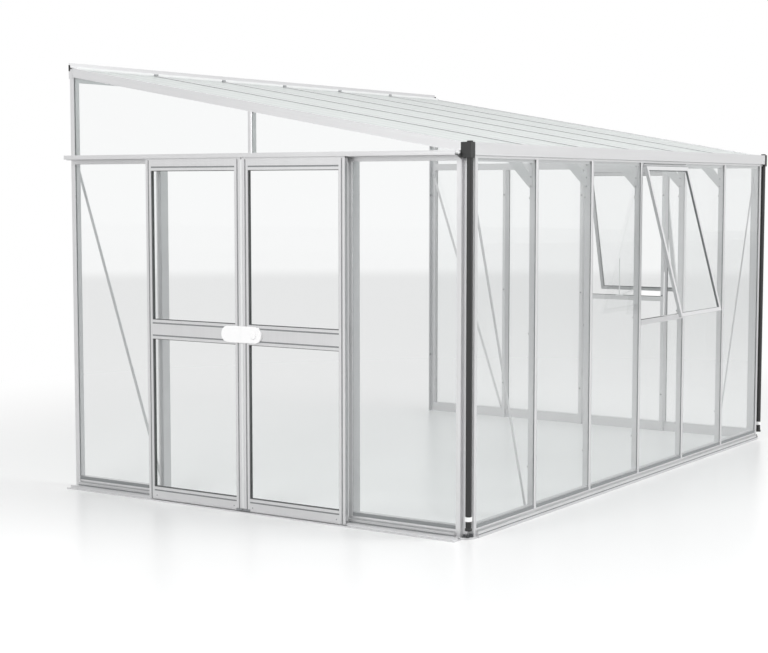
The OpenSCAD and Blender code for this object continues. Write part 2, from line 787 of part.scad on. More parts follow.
// Rails above and below a window that hangs between two bars.
module window_rail_pair(from, to, top) {
    head_low = top - header_h;
    difference() {
        rail_between(from, to, sill_z, sill_z + sill_h);
        pane_groove(from, to, sill_z - 1, sill_z + groove_d);
    }
    rail_between(from, to, head_low, top);
    translate([from + cap_w / 2 + sash_gap, -hinge_out, head_low + hinge_drop]) {
        rotate([0, 90, 0]) cylinder(r = hinge_r, h = sash_clear_w);
        translate([0, 0, -hinge_neck_t / 2]) cube([sash_clear_w, hinge_out + 1, hinge_neck_t]);
    }
}

module window_rails() color("silver") from_corner() {
    window_rail_pair(post_x(window_bay - 1), post_x(window_bay), eave_h);
    at_far_end() in_gable() window_rail_pair(gable_y(1), gable_y(2), transom_z);
}

// Hangs a sash from the hinge bead of its header, turned open.
module at_hinge(from, top)
    translate([from + cap_w / 2 + sash_gap, -hinge_out, top - header_h + hinge_drop])
        rotate([-window_angle, 0, 0]) children();

module sash(drop) {
    back = sash_in - sash_t;
    cut_w = sash_clear_w + 2;
    groove = sash_w - sash_bite;
    difference() {
        union() {
            translate([0, back, -drop]) cube([sash_clear_w, sash_t, drop - ring_r + 1]);
            rotate([0, 90, 0]) cylinder(r = ring_r, h = sash_clear_w);
        }
        translate([-1, 0, 0]) {
            rotate([0, 90, 0]) cylinder(r = hinge_r + seat_gap, h = cut_w);
            rotate([window_angle, 0, 0]) translate([0, 0, -hinge_wall])
                cube([cut_w, ring_r + 1, 3 * hinge_wall]);
            translate([0, 0, -ring_r]) cube([cut_w, ring_r + sash_in, ring_r]);
        }
        translate([sash_w, back - 1, -drop + sash_w])
            cube([sash_clear_w - 2 * sash_w, sash_t + 2, drop - ring_r - 2 * sash_w]);
        translate([groove, sash_mid, groove - drop])
            cube([sash_clear_w - 2 * groove, glass_t + 2 * seat_gap, drop - ring_r - 2 * groove]);
    }
}

module sash_pane(drop) {
    edge = sash_w - sash_bite + pane_play / 2;
    translate([edge, sash_mid + seat_gap, edge - drop])
        cube([sash_clear_w - 2 * edge, glass_t, drop - ring_r - 2 * edge]);
}

module window_sashes() color("silver") from_corner() {
    at_hinge(post_x(window_bay - 1), eave_h) sash(sash_h(eave_h));
    at_far_end() in_gable() at_hinge(gable_y(1), transom_z) sash(sash_h(transom_z));
}

module window_glass() color([0.8, 0.9, 0.9, 0.35]) from_corner() {
    at_hinge(post_x(window_bay - 1), eave_h) sash_pane(sash_h(eave_h));
    at_far_end() in_gable() at_hinge(gable_y(1), transom_z) sash_pane(sash_h(transom_z));
}

// A stay from the sill up to the open sash, with an upright bar on its foot.
module window_stay(from, top) {
    hinge_z = top - header_h + hinge_drop;
    foot_x = from + bay_w / 2 + stay_side;
    bar_y = stay_foot_y + stay_foot_d / 2;
    sill_top = sill_z + sill_h;
    sash_low_z = hinge_z - sash_h(top) * cos(window_angle);
    sash_low_y = -hinge_out - sash_h(top) * sin(window_angle);
    inner_y = sash_low_y + sash_in * cos(window_angle) + sash_w * sin(window_angle) / 2;
    inner_z = sash_low_z + sash_in * sin(window_angle) + sash_w / 2;
    reach = bar_y - inner_y;
    rise = inner_z - sill_top - stay_foot_t - pane_play;
    arm_l = sqrt(reach * reach + rise * rise) - stay_arm_t;
    translate([foot_x - stay_foot_w / 2, stay_foot_y, sill_top])
        cube([stay_foot_w, stay_foot_d, stay_foot_t]);
    translate([foot_x, bar_y, sill_top + stay_foot_t - 1])
        cylinder(d = stay_bar_d, h = stay_bar_h);
    translate([foot_x - stay_foot_w / 3, bar_y, sill_top + stay_foot_t])
        rotate([atan2(rise, -reach), 0, 0]) cube([stay_arm_w, arm_l, stay_arm_t]);
}

module window_stays() color("white") from_corner() {
    window_stay(post_x(window_bay - 1), eave_h);
    at_far_end() in_gable() window_stay(gable_y(1), transom_z);
}

// A door is drawn from its meeting edge, with its width along the first axis,
// its outer face at zero depth and its height from the floor.
module door_leaf() {
    groove_in = door_bite + 1;
    groove_y = door_t / 2 - glass_t / 2 - seat_gap;
    difference() {
        translate([0, 0, door_bottom]) cube([door_w, door_t, door_top - door_bottom]);
        for (span = door_lights) {
            translate([meeting_stile, -1, span[0]])
                cube([door_light_w, door_t + 2, span[1] - span[0]]);
            translate([meeting_stile - groove_in, groove_y, span[0] - groove_in])
                cube([door_light_w + 2 * groove_in, glass_t + 2 * seat_gap,
                    span[1] - span[0] + 2 * groove_in]);
            // Grooves of the rails, from stile to stile.
            for (z = [span[0] - bead_w - bead_groove_w, span[1] + bead_w])
                translate([meeting_stile, -1, z])
                    cube([door_light_w, bead_groove_d + 1, bead_groove_w]);
        }
        // Grooves of the stiles, up their whole length.
        for (x = [meeting_stile - bead_w - bead_groove_w, door_w - outer_stile + bead_w])
            translate([x, -1, door_bottom - 1])
                cube([bead_groove_w, bead_groove_d + 1, door_top - door_bottom + 2]);
        // Channel that runs over the guide rib of the track.
        translate([-1, door_t / 2 - guide_t / 2 - door_clear, door_bottom - 1])
            cube([door_w + 2, guide_t + 2 * door_clear, guide_rise + door_clear + 3]);
    }
    translate([0, 0, door_top]) cube([door_w, top_flange_t, top_flange_h]);
}

module door_panes() {
    for (span = door_lights)
        translate([meeting_stile - door_bite, door_t / 2 - glass_t / 2, span[0] - door_bite])
            cube([door_light_w + 2 * door_bite, glass_t, span[1] - span[0] + 2 * door_bite]);
}

// Two hangers per door: a plate behind the top flange and a grooved wheel on the running rail.
module door_hangers() {
    wheel_y = door_t / 2 - wheel_w / 2;
    flange_t = wheel_w / 4;
    plate_back = top_flange_t + hanger_t;
    for (x = [hanger_in, door_w - hanger_in]) {
        translate([x - hanger_w / 2, top_flange_t, door_top])
            cube([hanger_w, hanger_t, wheel_z + tread_r - door_top]);
        translate([x, plate_back - 1, wheel_z]) rotate([-90, 0, 0])
            cylinder(r = axle_r, h = wheel_y - plate_back + 2);
        translate([x, wheel_y, wheel_z]) rotate([-90, 0, 0]) {
            cylinder(r = flange_r, h = flange_t);
            cylinder(r = tread_r, h = wheel_w);
            translate([0, 0, wheel_w - flange_t]) cylinder(r = flange_r, h = flange_t);
        }
    }
}

// Half of the grip plate, round at its outer end.
module grip_half() {
    straight = grip_l - grip_h / 2;
    translate([0, -grip_t, grip_z]) {
        translate([0, 0, -grip_h / 2]) cube([straight, grip_t, grip_h]);
        translate([straight, 0, 0]) rotate([-90, 0, 0]) cylinder(d = grip_h, h = grip_t, $fn = 96);
    }
}

// The left door opens towards the house wall, the right door towards the eave corner.
module left_place() from_corner() translate([-door_front, door_mid_y + door_gap / 2, 0])
    in_gable() children();
module right_place() from_corner() translate([-door_front, door_mid_y - door_gap / 2, 0])
    mirror([0, 1, 0]) in_gable() children();

module left_door() color("silver") left_place() door_leaf();
module right_door() color("silver") right_place() door_leaf();
module left_door_glass() color([0.8, 0.9, 0.9, 0.35]) left_place() door_panes();
module right_door_glass() color([0.8, 0.9, 0.9, 0.35]) right_place() door_panes();
module left_door_hangers() color("dimgray") left_place() door_hangers();
module right_door_hangers() color("dimgray") right_place() door_hangers();
module left_grip() color("white") left_place() grip_half();
module right_grip() color("white") right_place() {
    grip_half();
    translate([knob_in, -grip_t - knob_t, grip_z]) rotate([-90, 0, 0])
        cylinder(r = knob_r, h = knob_t + 1);
}

base_rail_long();
base_rail_doors();
base_rail_far();
corner_post_doors();
corner_post_far();
wall_posts();
for (i = [1 : posts]) long_post(i);
for (i = [1 : posts]) rafter(i);
gutter();
gutter_ends();
downpipes();
pipe_rings();
wall_plate();
verges();
roof_sheets();
transoms();
gable_posts_doors();
gable_posts_far();
door_hood();
door_track();
glass_long();
glass_doors_gable();
glass_far_gable();
wind_braces();
knee_plates();
window_rails();
window_sashes();
window_glass();
window_stays();
left_door();
left_door_glass();
left_door_hangers();
left_grip();
right_door();
right_door_glass();
right_door_hangers();
right_grip();
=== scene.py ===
"""Lean-to greenhouse: finishes, fittings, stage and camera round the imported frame.

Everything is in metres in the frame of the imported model: X runs along the wall, Y from the eave
side to the wall and Z up, with the origin under the long side at the middle of its length.
"""

import logging
import math
from dataclasses import dataclass, field
from enum import Enum

import bmesh
import bpy
from mathutils import Euler, Matrix, Vector


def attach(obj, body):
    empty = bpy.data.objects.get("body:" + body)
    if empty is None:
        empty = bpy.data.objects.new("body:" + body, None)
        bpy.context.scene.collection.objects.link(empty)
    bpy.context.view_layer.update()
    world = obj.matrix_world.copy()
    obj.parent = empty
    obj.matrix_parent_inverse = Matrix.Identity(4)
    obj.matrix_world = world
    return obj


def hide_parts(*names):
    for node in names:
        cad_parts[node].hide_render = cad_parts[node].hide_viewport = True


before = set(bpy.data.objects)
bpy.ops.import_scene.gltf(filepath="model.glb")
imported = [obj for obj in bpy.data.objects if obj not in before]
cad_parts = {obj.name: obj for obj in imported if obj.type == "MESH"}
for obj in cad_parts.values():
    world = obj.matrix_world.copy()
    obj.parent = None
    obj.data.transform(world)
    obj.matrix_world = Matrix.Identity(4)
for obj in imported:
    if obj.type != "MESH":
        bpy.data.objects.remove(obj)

LOG = logging.getLogger("greenhouse")

Point = tuple[float, float, float]

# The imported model's main sizes, in metres.
LENGTH = 4.490
DEPTH = 3.010
EAVE_Z = 2.130
ROOF_RISE = 0.078
ROOF_PITCH = math.radians(10.0)
LONG_BARS = tuple(-LENGTH / 2 + 0.785 + 0.730 * i for i in range(5))
GABLE_BARS = (0.802, 1.532, 2.262)
FRAME_BODY = "frame"
LEFT_DOOR = "left_door"
RIGHT_DOOR = "right_door"


def roof_z(y: float, below: float = 0.0) -> float:
    """Height of the roof at a distance from the cap line.

    Args:
        y: distance from the cap line of the long side.
        below: depth below the caps' top face, square to the slope.

    Returns:
        The height above the floor.
    """
    return EAVE_Z + ROOF_RISE + y * math.tan(ROOF_PITCH) - below / math.cos(ROOF_PITCH)


def linear(hex_colour: str) -> tuple[float, float, float, float]:
    """Turns an sRGB hex colour into linear light.

    Args:
        hex_colour: six hex digits with a leading mark.

    Returns:
        Red, green, blue and an alpha of one.
    """
    values = [int(hex_colour[i : i + 2], 16) / 255 for i in (1, 3, 5)]
    light = [v / 12.92 if v <= 0.04045 else ((v + 0.055) / 1.055) ** 2.4 for v in values]
    return (light[0], light[1], light[2], 1.0)


def add_node(
    tree: bpy.types.NodeTree,
    kind: str,
    settings: dict[str, object] | None = None,
    inputs: dict[str | int, object] | None = None,
) -> bpy.types.Node:
    """Adds a node to a tree with its settings and what goes into it.

    Args:
        tree: the node tree.
        kind: Blender's name of the node's class.
        settings: properties of the node.
        inputs: socket name or number to a plain value, or to an output socket to link from.

    Returns:
        The new node.
    """
    node = tree.nodes.new(kind)
    for key, value in (settings or {}).items():
        setattr(node, key, value)
    for key, value in (inputs or {}).items():
        if isinstance(value, bpy.types.NodeSocket):
            tree.links.new(value, node.inputs[key])
        else:
            node.inputs[key].default_value = value
    return node


class Grain(Enum):
    """Direction in which a section was extruded, as the turn that lays it along Z."""

    X = (0.0, math.pi / 2, 0.0)
    Y = (-math.pi / 2, 0.0, 0.0)
    Z = (0.0, 0.0, 0.0)
    SLOPE = (-math.pi / 2 - ROOF_PITCH, 0.0, 0.0)


@dataclass(frozen=True)
class Finish:
    """A finish with a name; each kind adds its own nodes."""

    name: str

    def build(self) -> bpy.types.Material:
        """Makes the material, or returns the one made before.

        Returns:
            The Blender material.
        """
        known = bpy.data.materials.get(self.name)
        if known is not None:
            return known
        material = bpy.data.materials.new(self.name)
        material.use_nodes = True
        material.node_tree.nodes.clear()
        surface = self.surface(material.node_tree)
        add_node(material.node_tree, "ShaderNodeOutputMaterial", inputs={"Surface": surface})
        return material

    def surface(self, tree: bpy.types.NodeTree) -> bpy.types.NodeSocket:
        """Adds the nodes of the surface; each kind of finish has its own."""
        raise NotImplementedError


@dataclass(frozen=True)
class ExtrudedAluminium(Finish):
    """Anodised aluminium, extruded: pale grey satin metal with faint die lines along the section."""

    colour: str = "#E0E0E1"
    shade: str = "#D5D5D6"
    roughness: float = 0.38
    grain: Grain = Grain.Z
    # Die lines are under half a millimetre apart; they are drawn at 7 mm to show at all.
    line_mm: float = 7.0
    run_mm: float = 900.0

    def surface(self, tree: bpy.types.NodeTree) -> bpy.types.NodeSocket:
        """Builds satin metal whose colour, gloss and relief vary in streaks.

        Args:
            tree: the material's node tree.

        Returns:
            The shader socket.
        """
        where = add_node(tree, "ShaderNodeTexCoord")
        across, along = 1000 / self.line_mm, 1000 / self.run_mm
        turned = add_node(tree, "ShaderNodeMapping", {"vector_type": "POINT"},
                          {"Vector": where.outputs["Object"], "Rotation": self.grain.value})
        stretched = add_node(tree, "ShaderNodeMapping", {"vector_type": "POINT"},
                             {"Vector": turned.outputs[0], "Scale": (across, across, along)})
        lines = add_node(tree, "ShaderNodeTexNoise", None,
                         {"Vector": stretched.outputs[0], "Scale": 1.0, "Detail": 3.0})
        cloud = add_node(tree, "ShaderNodeTexNoise", None,
                         {"Vector": where.outputs["Object"], "Scale": 2.5, "Detail": 2.0})
        tone = add_node(tree, "ShaderNodeMix", {"data_type": "FLOAT"},
                        {0: 0.35, 2: lines.outputs["Fac"], 3: cloud.outputs["Fac"]})
        colours = add_node(tree, "ShaderNodeMix", {"data_type": "RGBA"},
                           {0: tone.outputs[0], 6: linear(self.shade), 7: linear(self.colour)})
        gloss = add_node(tree, "ShaderNodeMapRange", None,
                         {0: lines.outputs["Fac"], 1: 0.3, 2: 0.7,
                          3: self.roughness - 0.05, 4: self.roughness + 0.05})
        relief = add_node(tree, "ShaderNodeBump", None,
                          {"Strength": 0.08, "Distance": 0.0002, "Height": lines.outputs["Fac"]})
        shader = add_node(tree, "ShaderNodeBsdfPrincipled", None,
                          {"Base Color": colours.outputs[2], "Metallic": 0.85,
                           "Roughness": gloss.outputs[0], "Normal": relief.outputs[0]})
        return shader.outputs[0]


@dataclass(frozen=True)
class FloatGlass(Finish):
    """Float glass, 4 mm: clear and flat with a faint grey cast; light shines through it, dimmed."""

    tint: str = "#F9FAFA"
    passes: str = "#ECEDED"

    def surface(self, tree: bpy.types.NodeTree) -> bpy.types.NodeSocket:
        """Builds clear glass that lets light through to what is behind it.

        Args:
            tree: the material's node tree.

        Returns:
            The shader socket.
        """
        where = add_node(tree, "ShaderNodeTexCoord")
        # Rollers leave waves of some 300 mm in the sheet; they bend reflections very slightly.
        waves = add_node(tree, "ShaderNodeTexNoise", None,
                         {"Vector": where.outputs["Object"], "Scale": 3.3, "Detail": 0.0})
        relief = add_node(tree, "ShaderNodeBump", None,
                          {"Strength": 0.02, "Distance": 0.001, "Height": waves.outputs["Fac"]})
        glass = add_node(tree, "ShaderNodeBsdfPrincipled", None,
                         {"Base Color": linear(self.tint), "Roughness": 0.0, "IOR": 1.52,
                          "Transmission Weight": 1.0, "Normal": relief.outputs[0]})
        clear = add_node(tree, "ShaderNodeBsdfTransparent", None, {"Color": linear(self.passes)})
        path = add_node(tree, "ShaderNodeLightPath")
        # A ray that has gone through glass counts as glossy too, and still meets glass here.
        mirrored = add_node(tree, "ShaderNodeMixShader", None,
                            {0: path.outputs["Is Transmission Ray"], 1: clear.outputs[0],
                             2: glass.outputs[0]})
        mixed = add_node(tree, "ShaderNodeMixShader", None,
                         {0: path.outputs["Is Glossy Ray"], 1: glass.outputs[0],
                          2: mirrored.outputs[0]})
        for ray in ("Is Diffuse Ray", "Is Shadow Ray"):
            mixed = add_node(tree, "ShaderNodeMixShader", None,
                             {0: path.outputs[ray], 1: mixed.outputs[0], 2: clear.outputs[0]})
        return mixed.outputs[0]


@dataclass(frozen=True)
class TwinWallSheet(Finish):
    """Polycarbonate, extruded twin-wall: milky glossy plastic with ribs 20 mm apart inside."""

    colour: str = "#E2E5E4"
    rib_colour: str = "#D7DBDA"
    rib_pitch_mm: float = 20.0

    def surface(self, tree: bpy.types.NodeTree) -> bpy.types.NodeSocket:
        """Builds milky plastic with faint ribs along the slope.

        Args:
            tree: the material's node tree.

        Returns:
            The shader socket.
        """
        where = add_node(tree, "ShaderNodeTexCoord")
        ribs = add_node(tree, "ShaderNodeTexWave", {"bands_direction": "X", "wave_profile": "SIN"},
                        {"Vector": where.outputs["Object"],
                         "Scale": math.pi * 10 / self.rib_pitch_mm, "Distortion": 0.0})
        narrow = add_node(tree, "ShaderNodeMapRange", None,
                          {0: ribs.outputs["Fac"], 1: 0.8, 2: 1.0, 3: 0.0, 4: 1.0})
        colours = add_node(tree, "ShaderNodeMix", {"data_type": "RGBA"},
                           {0: narrow.outputs[0], 6: linear(self.colour), 7: linear(self.rib_colour)})
        relief = add_node(tree, "ShaderNodeBump", None,
                          {"Strength": 0.1, "Distance": 0.0005, "Height": ribs.outputs["Fac"]})
        plastic = add_node(tree, "ShaderNodeBsdfPrincipled", None,
                           {"Base Color": colours.outputs[2], "Roughness": 0.22, "IOR": 1.58,
                            "Normal": relief.outputs[0]})
        glow = add_node(tree, "ShaderNodeBsdfTranslucent", None, {"Color": colours.outputs[2]})
        both = add_node(tree, "ShaderNodeMixShader", None,
                        {0: 0.35, 1: plastic.outputs[0], 2: glow.outputs[0]})
        clear = add_node(tree, "ShaderNodeBsdfTransparent", None, {"Color": linear("#D8DCDB")})
        path = add_node(tree, "ShaderNodeLightPath")
        mixed = add_node(tree, "ShaderNodeMixShader", None,
                         {0: path.outputs["Is Shadow Ray"], 1: both.outputs[0], 2: clear.outputs[0]})
        return mixed.outputs[0]


@dataclass(frozen=True)
class MouldedPlastic(Finish):
    """Moulded plastic: even colour with a fine spark-eroded grain."""

    colour: str = "#272727"
    shade: str = "#212121"
    roughness: float = 0.5
    # The mould's grain is 0.3 mm; it is drawn at 4 mm to show at all.
    grain_mm: float = 4.0

    def surface(self, tree: bpy.types.NodeTree) -> bpy.types.NodeSocket:
        """Builds plastic with a fine grain in colour, gloss and relief.

        Args:
            tree: the material's node tree.

        Returns:
            The shader socket.
        """
        where = add_node(tree, "ShaderNodeTexCoord")
        grain = add_node(tree, "ShaderNodeTexNoise", None,
                         {"Vector": where.outputs["Object"], "Scale": 1000 / self.grain_mm,
                          "Detail": 2.0})
        colours = add_node(tree, "ShaderNodeMix", {"data_type": "RGBA"},
                           {0: grain.outputs["Fac"], 6: linear(self.shade), 7: linear(self.colour)})
        gloss = add_node(tree, "ShaderNodeMapRange", None,
                         {0: grain.outputs["Fac"], 1: 0.3, 2: 0.7,
                          3: self.roughness - 0.06, 4: self.roughness + 0.06})
        relief = add_node(tree, "ShaderNodeBump", None,
                          {"Strength": 0.1, "Distance": 0.0003, "Height": grain.outputs["Fac"]})
        shader = add_node(tree, "ShaderNodeBsdfPrincipled", None,
                          {"Base Color": colours.outputs[2], "Roughness": gloss.outputs[0],
                           "IOR": 1.5, "Normal": relief.outputs[0]})
        return shader.outputs[0]


@dataclass(frozen=True)
class ExtrudedRubber(Finish):
    """Rubber, extruded: dull and soft, with a bloom that greys it in patches."""

    colour: str = "#5C5E5E"
    bloom: str = "#6A6C6C"
    roughness: float = 0.75

    def surface(self, tree: bpy.types.NodeTree) -> bpy.types.NodeSocket:
        """Builds dull rubber with patches of bloom.

        Args:
            tree: the material's node tree.

        Returns:
            The shader socket.
        """
        where = add_node(tree, "ShaderNodeTexCoord")
        # Bloom gathers in patches of some 40 mm.
        patches = add_node(tree, "ShaderNodeTexNoise", None,
                           {"Vector": where.outputs["Object"], "Scale": 25.0, "Detail": 3.0})
        colours = add_node(tree, "ShaderNodeMix", {"data_type": "RGBA"},
                           {0: patches.outputs["Fac"], 6: linear(self.colour), 7: linear(self.bloom)})
        gloss = add_node(tree, "ShaderNodeMapRange", None,
                         {0: patches.outputs["Fac"], 1: 0.3, 2: 0.7,
                          3: self.roughness - 0.1, 4: self.roughness + 0.1})
        shader = add_node(tree, "ShaderNodeBsdfPrincipled", None,
                          {"Base Color": colours.outputs[2], "Roughness": gloss.outputs[0],
                           "IOR": 1.5})
        return shader.outputs[0]


@dataclass(frozen=True)
class PressedSteel(Finish):
    """Stainless steel, pressed and tumbled: bright grey metal with a cloudy gloss."""

    colour: str = "#B4B6B8"
    roughness: float = 0.3

    def surface(self, tree: bpy.types.NodeTree) -> bpy.types.NodeSocket:
        """Builds metal whose gloss varies as tumbling leaves it.

        Args:
            tree: the material's node tree.

        Returns:
            The shader socket.
        """
        where = add_node(tree, "ShaderNodeTexCoord")
        # Tumbling marks are under 0.5 mm; they are drawn at 3 mm to show at all.
        marks = add_node(tree, "ShaderNodeTexNoise", None,
                         {"Vector": where.outputs["Object"], "Scale": 330.0, "Detail": 2.0})
        gloss = add_node(tree, "ShaderNodeMapRange", None,
                         {0: marks.outputs["Fac"], 1: 0.3, 2: 0.7,
                          3: self.roughness - 0.08, 4: self.roughness + 0.08})
        shader = add_node(tree, "ShaderNodeBsdfPrincipled", None,
                          {"Base Color": linear(self.colour), "Metallic": 1.0,
                           "Roughness": gloss.outputs[0]})
        return shader.outputs[0]


BAR_UP = ExtrudedAluminium("anodised_aluminium_upright")
BAR_X = ExtrudedAluminium("anodised_aluminium_along_wall", grain=Grain.X)
BAR_Y = ExtrudedAluminium("anodised_aluminium_across", grain=Grain.Y)
BAR_SLOPE = ExtrudedAluminium("anodised_aluminium_roof", grain=Grain.SLOPE)
GLASS = FloatGlass("float_glass_4mm")
SHEET = TwinWallSheet("twin_wall_polycarbonate")
BLACK_PLASTIC = MouldedPlastic("black_upvc_moulded")
WHITE_PLASTIC = MouldedPlastic("white_abs_moulded", colour="#F6F6F6", shade="#F0F0F0", roughness=0.35)
LOCK_WHITE = MouldedPlastic("white_abs_polished", colour="#F4F4F4", shade="#F1F1F1", roughness=0.25)
GREY_PLASTIC = MouldedPlastic("grey_nylon_moulded", colour="#8C8E90", shade="#7E8082")
RUBBER = ExtrudedRubber("black_epdm_extruded")
# Grey rubber of the beads and wedges, also used for strips of painted shade in grooves and gaps.
BEAD_AND_SHADE_GREY = ExtrudedRubber("grey_epdm_and_painted_shade", colour="#7E8182", bloom="#8C8F90")
ROOF_GREY = ExtrudedRubber("light_grey_epdm_extruded", colour="#9A9D9E", bloom="#A6A9AA")
PALE_RUBBER = ExtrudedRubber("pale_pvc_extruded", colour="#DFE0E0", bloom="#E6E7E7", roughness=0.5)
STEEL = PressedSteel("stainless_steel_pressed")
DARK_STEEL = PressedSteel("steel_blackened", colour="#5A5C5E", roughness=0.4)

NODE_FINISHES: dict[str, Finish] = {
    **{f"long_post_{i}": BAR_UP for i in range(1, 6)},
    **{f"rafter_{i}": BAR_SLOPE for i in range(1, 6)},
    "base_rail_long": BAR_X,
    "base_rail_doors": BAR_Y,
    "base_rail_far": BAR_Y,
    "corner_post_doors": BAR_UP,
    "corner_post_far": BAR_UP,
    "wall_posts": BAR_UP,
    "gutter": BAR_X,
    "wall_plate": BAR_X,
    "verges": BAR_SLOPE,
    "transoms": BAR_Y,
    "gable_posts_doors": BAR_UP,
    "gable_posts_far": BAR_UP,
    "door_hood": BAR_Y,
    "door_track": BAR_Y,
    "wind_braces": BAR_UP,
    "knee_plates": BAR_SLOPE,
    "window_rails": BAR_X,
    "window_sashes": BAR_UP,
    "left_door": BAR_UP,
    "right_door": BAR_UP,
    "glass_long": GLASS,
    "glass_doors_gable": GLASS,
    "glass_far_gable": GLASS,
    "window_glass": GLASS,
    "left_door_glass": GLASS,
    "right_door_glass": GLASS,
    "roof_sheets": SHEET,
    "gutter_ends": BLACK_PLASTIC,
    "downpipes": BLACK_PLASTIC,
    "left_door_hangers": BLACK_PLASTIC,
    "right_door_hangers": BLACK_PLASTIC,
    "pipe_rings": WHITE_PLASTIC,
    "window_stays": WHITE_PLASTIC,
    "left_grip": LOCK_WHITE,
    "right_grip": LOCK_WHITE,
}


def dress_nodes() -> None:
    """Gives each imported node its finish."""
    for name, finish in NODE_FINISHES.items():
        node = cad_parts[name]
        node.data.materials.clear()
        node.data.materials.append(finish.build())
        LOG.info("dressed %s in %s", name, finish.name)


class Shape(Enum):
    """Small shapes that are repeated, each one unit wide, deep and high with its foot at zero."""

    SCREW = "button head with a hexagon socket"
    NUT = "hexagon head on a washer"
    BEAD = "round-backed strip"
    BLOCK = "moulded block with chamfered edges"
    TUFT = "tuft of bristles"


@dataclass(frozen=True)
class Spot:
    """One repeated part: where its foot is, its size along its own axes and its turn."""

    place: Point
    size: Point
    turn: Point = (0.0, 0.0, 0.0)


def facing(x: float, y: float, z: float) -> Point:
    """Turn that points a part's height along a direction.

    Args:
        x: the direction along the wall.
        y: the direction towards the wall.
        z: the direction upwards.

    Returns:
        The turn as three angles.
    """
    turn = Vector((x, y, z)).to_track_quat("Z", "Y").to_euler()
    return (turn.x, turn.y, turn.z)


def strip(low: Point, high: Point) -> Spot:
    """Spot of an upright part that fills the space between two corners.

    Args:
        low: the lowest corner.
        high: the highest corner.

    Returns:
        The spot.
    """
    middle = ((low[0] + high[0]) / 2, (low[1] + high[1]) / 2, low[2])
    return Spot(middle, (high[0] - low[0], high[1] - low[1], high[2] - low[2]))


def lying(low: Point, high: Point) -> Spot:
    """Spot of a part that lies between two corners, along X or Y, whichever way is longer.

    Args:
        low: the lowest corner.
        high: the highest corner.

    Returns:
        The spot, turned so that the part's height runs along its longer way.
    """
    wide, deep, tall = (b - a for a, b in zip(low, high))
    middle = [(a + b) / 2 for a, b in zip(low, high)]
    if wide > deep:
        return Spot((low[0], middle[1], middle[2]), (tall, deep, wide), (0.0, math.pi / 2, 0.0))
    return Spot((middle[0], low[1], middle[2]), (wide, tall, deep), (-math.pi / 2, 0.0, 0.0))


def hand_over(piece: bpy.types.Object, body: str, stands_for: tuple[str, ...] = ()) -> None:
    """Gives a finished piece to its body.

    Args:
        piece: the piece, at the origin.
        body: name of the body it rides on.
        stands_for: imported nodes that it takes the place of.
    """
    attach(piece, body)
    if stands_for:
        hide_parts(*stands_for)
    LOG.info("%s: %d faces on %s", piece.name, len(piece.data.polygons), body)


def plain_mesh(
    source: bpy.types.Object, tree: bpy.types.NodeTree, inputs: dict[str, object]
) -> bpy.types.Object:
    """Runs a node tree on an object and keeps the result as a plain mesh.

    Args:
        source: object whose mesh goes in; it is removed.
        tree: the Geometry Nodes tree.
        inputs: the tree's inputs by their names.

    Returns:
        A new object of the source's name with the result as its mesh.
    """
    name = source.name
    modifier = source.modifiers.new("nodes", "NODES")
    modifier.node_group = tree
    for item in tree.interface.items_tree:
        if item.item_type == "SOCKET" and item.in_out == "INPUT" and item.name in inputs:
            modifier[item.identifier] = inputs[item.name]
    ready = source.evaluated_get(bpy.context.evaluated_depsgraph_get())
    mesh = bpy.data.meshes.new_from_object(ready)
    bpy.data.objects.remove(source)
    mesh.name = name
    piece = bpy.data.objects.new(name, mesh)
    bpy.context.scene.collection.objects.link(piece)
    return piece


def new_tree(name: str, inputs: dict[str, str]) -> tuple[bpy.types.NodeTree, bpy.types.Node]:
    """Starts a Geometry Nodes tree with named inputs.

    Args:
        name: the tree's name.
        inputs: name to socket type of each input beside the geometry.

    Returns:
        The tree and its input node.
    """
    tree = bpy.data.node_groups.new(name, "GeometryNodeTree")
    tree.interface.new_socket("Geometry", in_out="INPUT", socket_type="NodeSocketGeometry")
    for key, kind in inputs.items():
        tree.interface.new_socket(key, in_out="INPUT", socket_type=kind)
    tree.interface.new_socket("Geometry", in_out="OUTPUT", socket_type="NodeSocketGeometry")
    return tree, add_node(tree, "NodeGroupInput")


def close_tree(
    tree: bpy.types.NodeTree, result: bpy.types.NodeSocket, finish: bpy.types.NodeSocket
) -> None:
    """Ends a tree in realised, finished geometry.

    Args:
        tree: the tree.
        result: the geometry that it made.
        finish: the socket of the material.
    """
    real = add_node(tree, "GeometryNodeRealizeInstances", None, {"Geometry": result})
    done = add_node(tree, "GeometryNodeSetMaterial", None,
                    {"Geometry": real.outputs[0], "Material": finish})
    add_node(tree, "NodeGroupOutput", None, {"Geometry": done.outputs[0]})


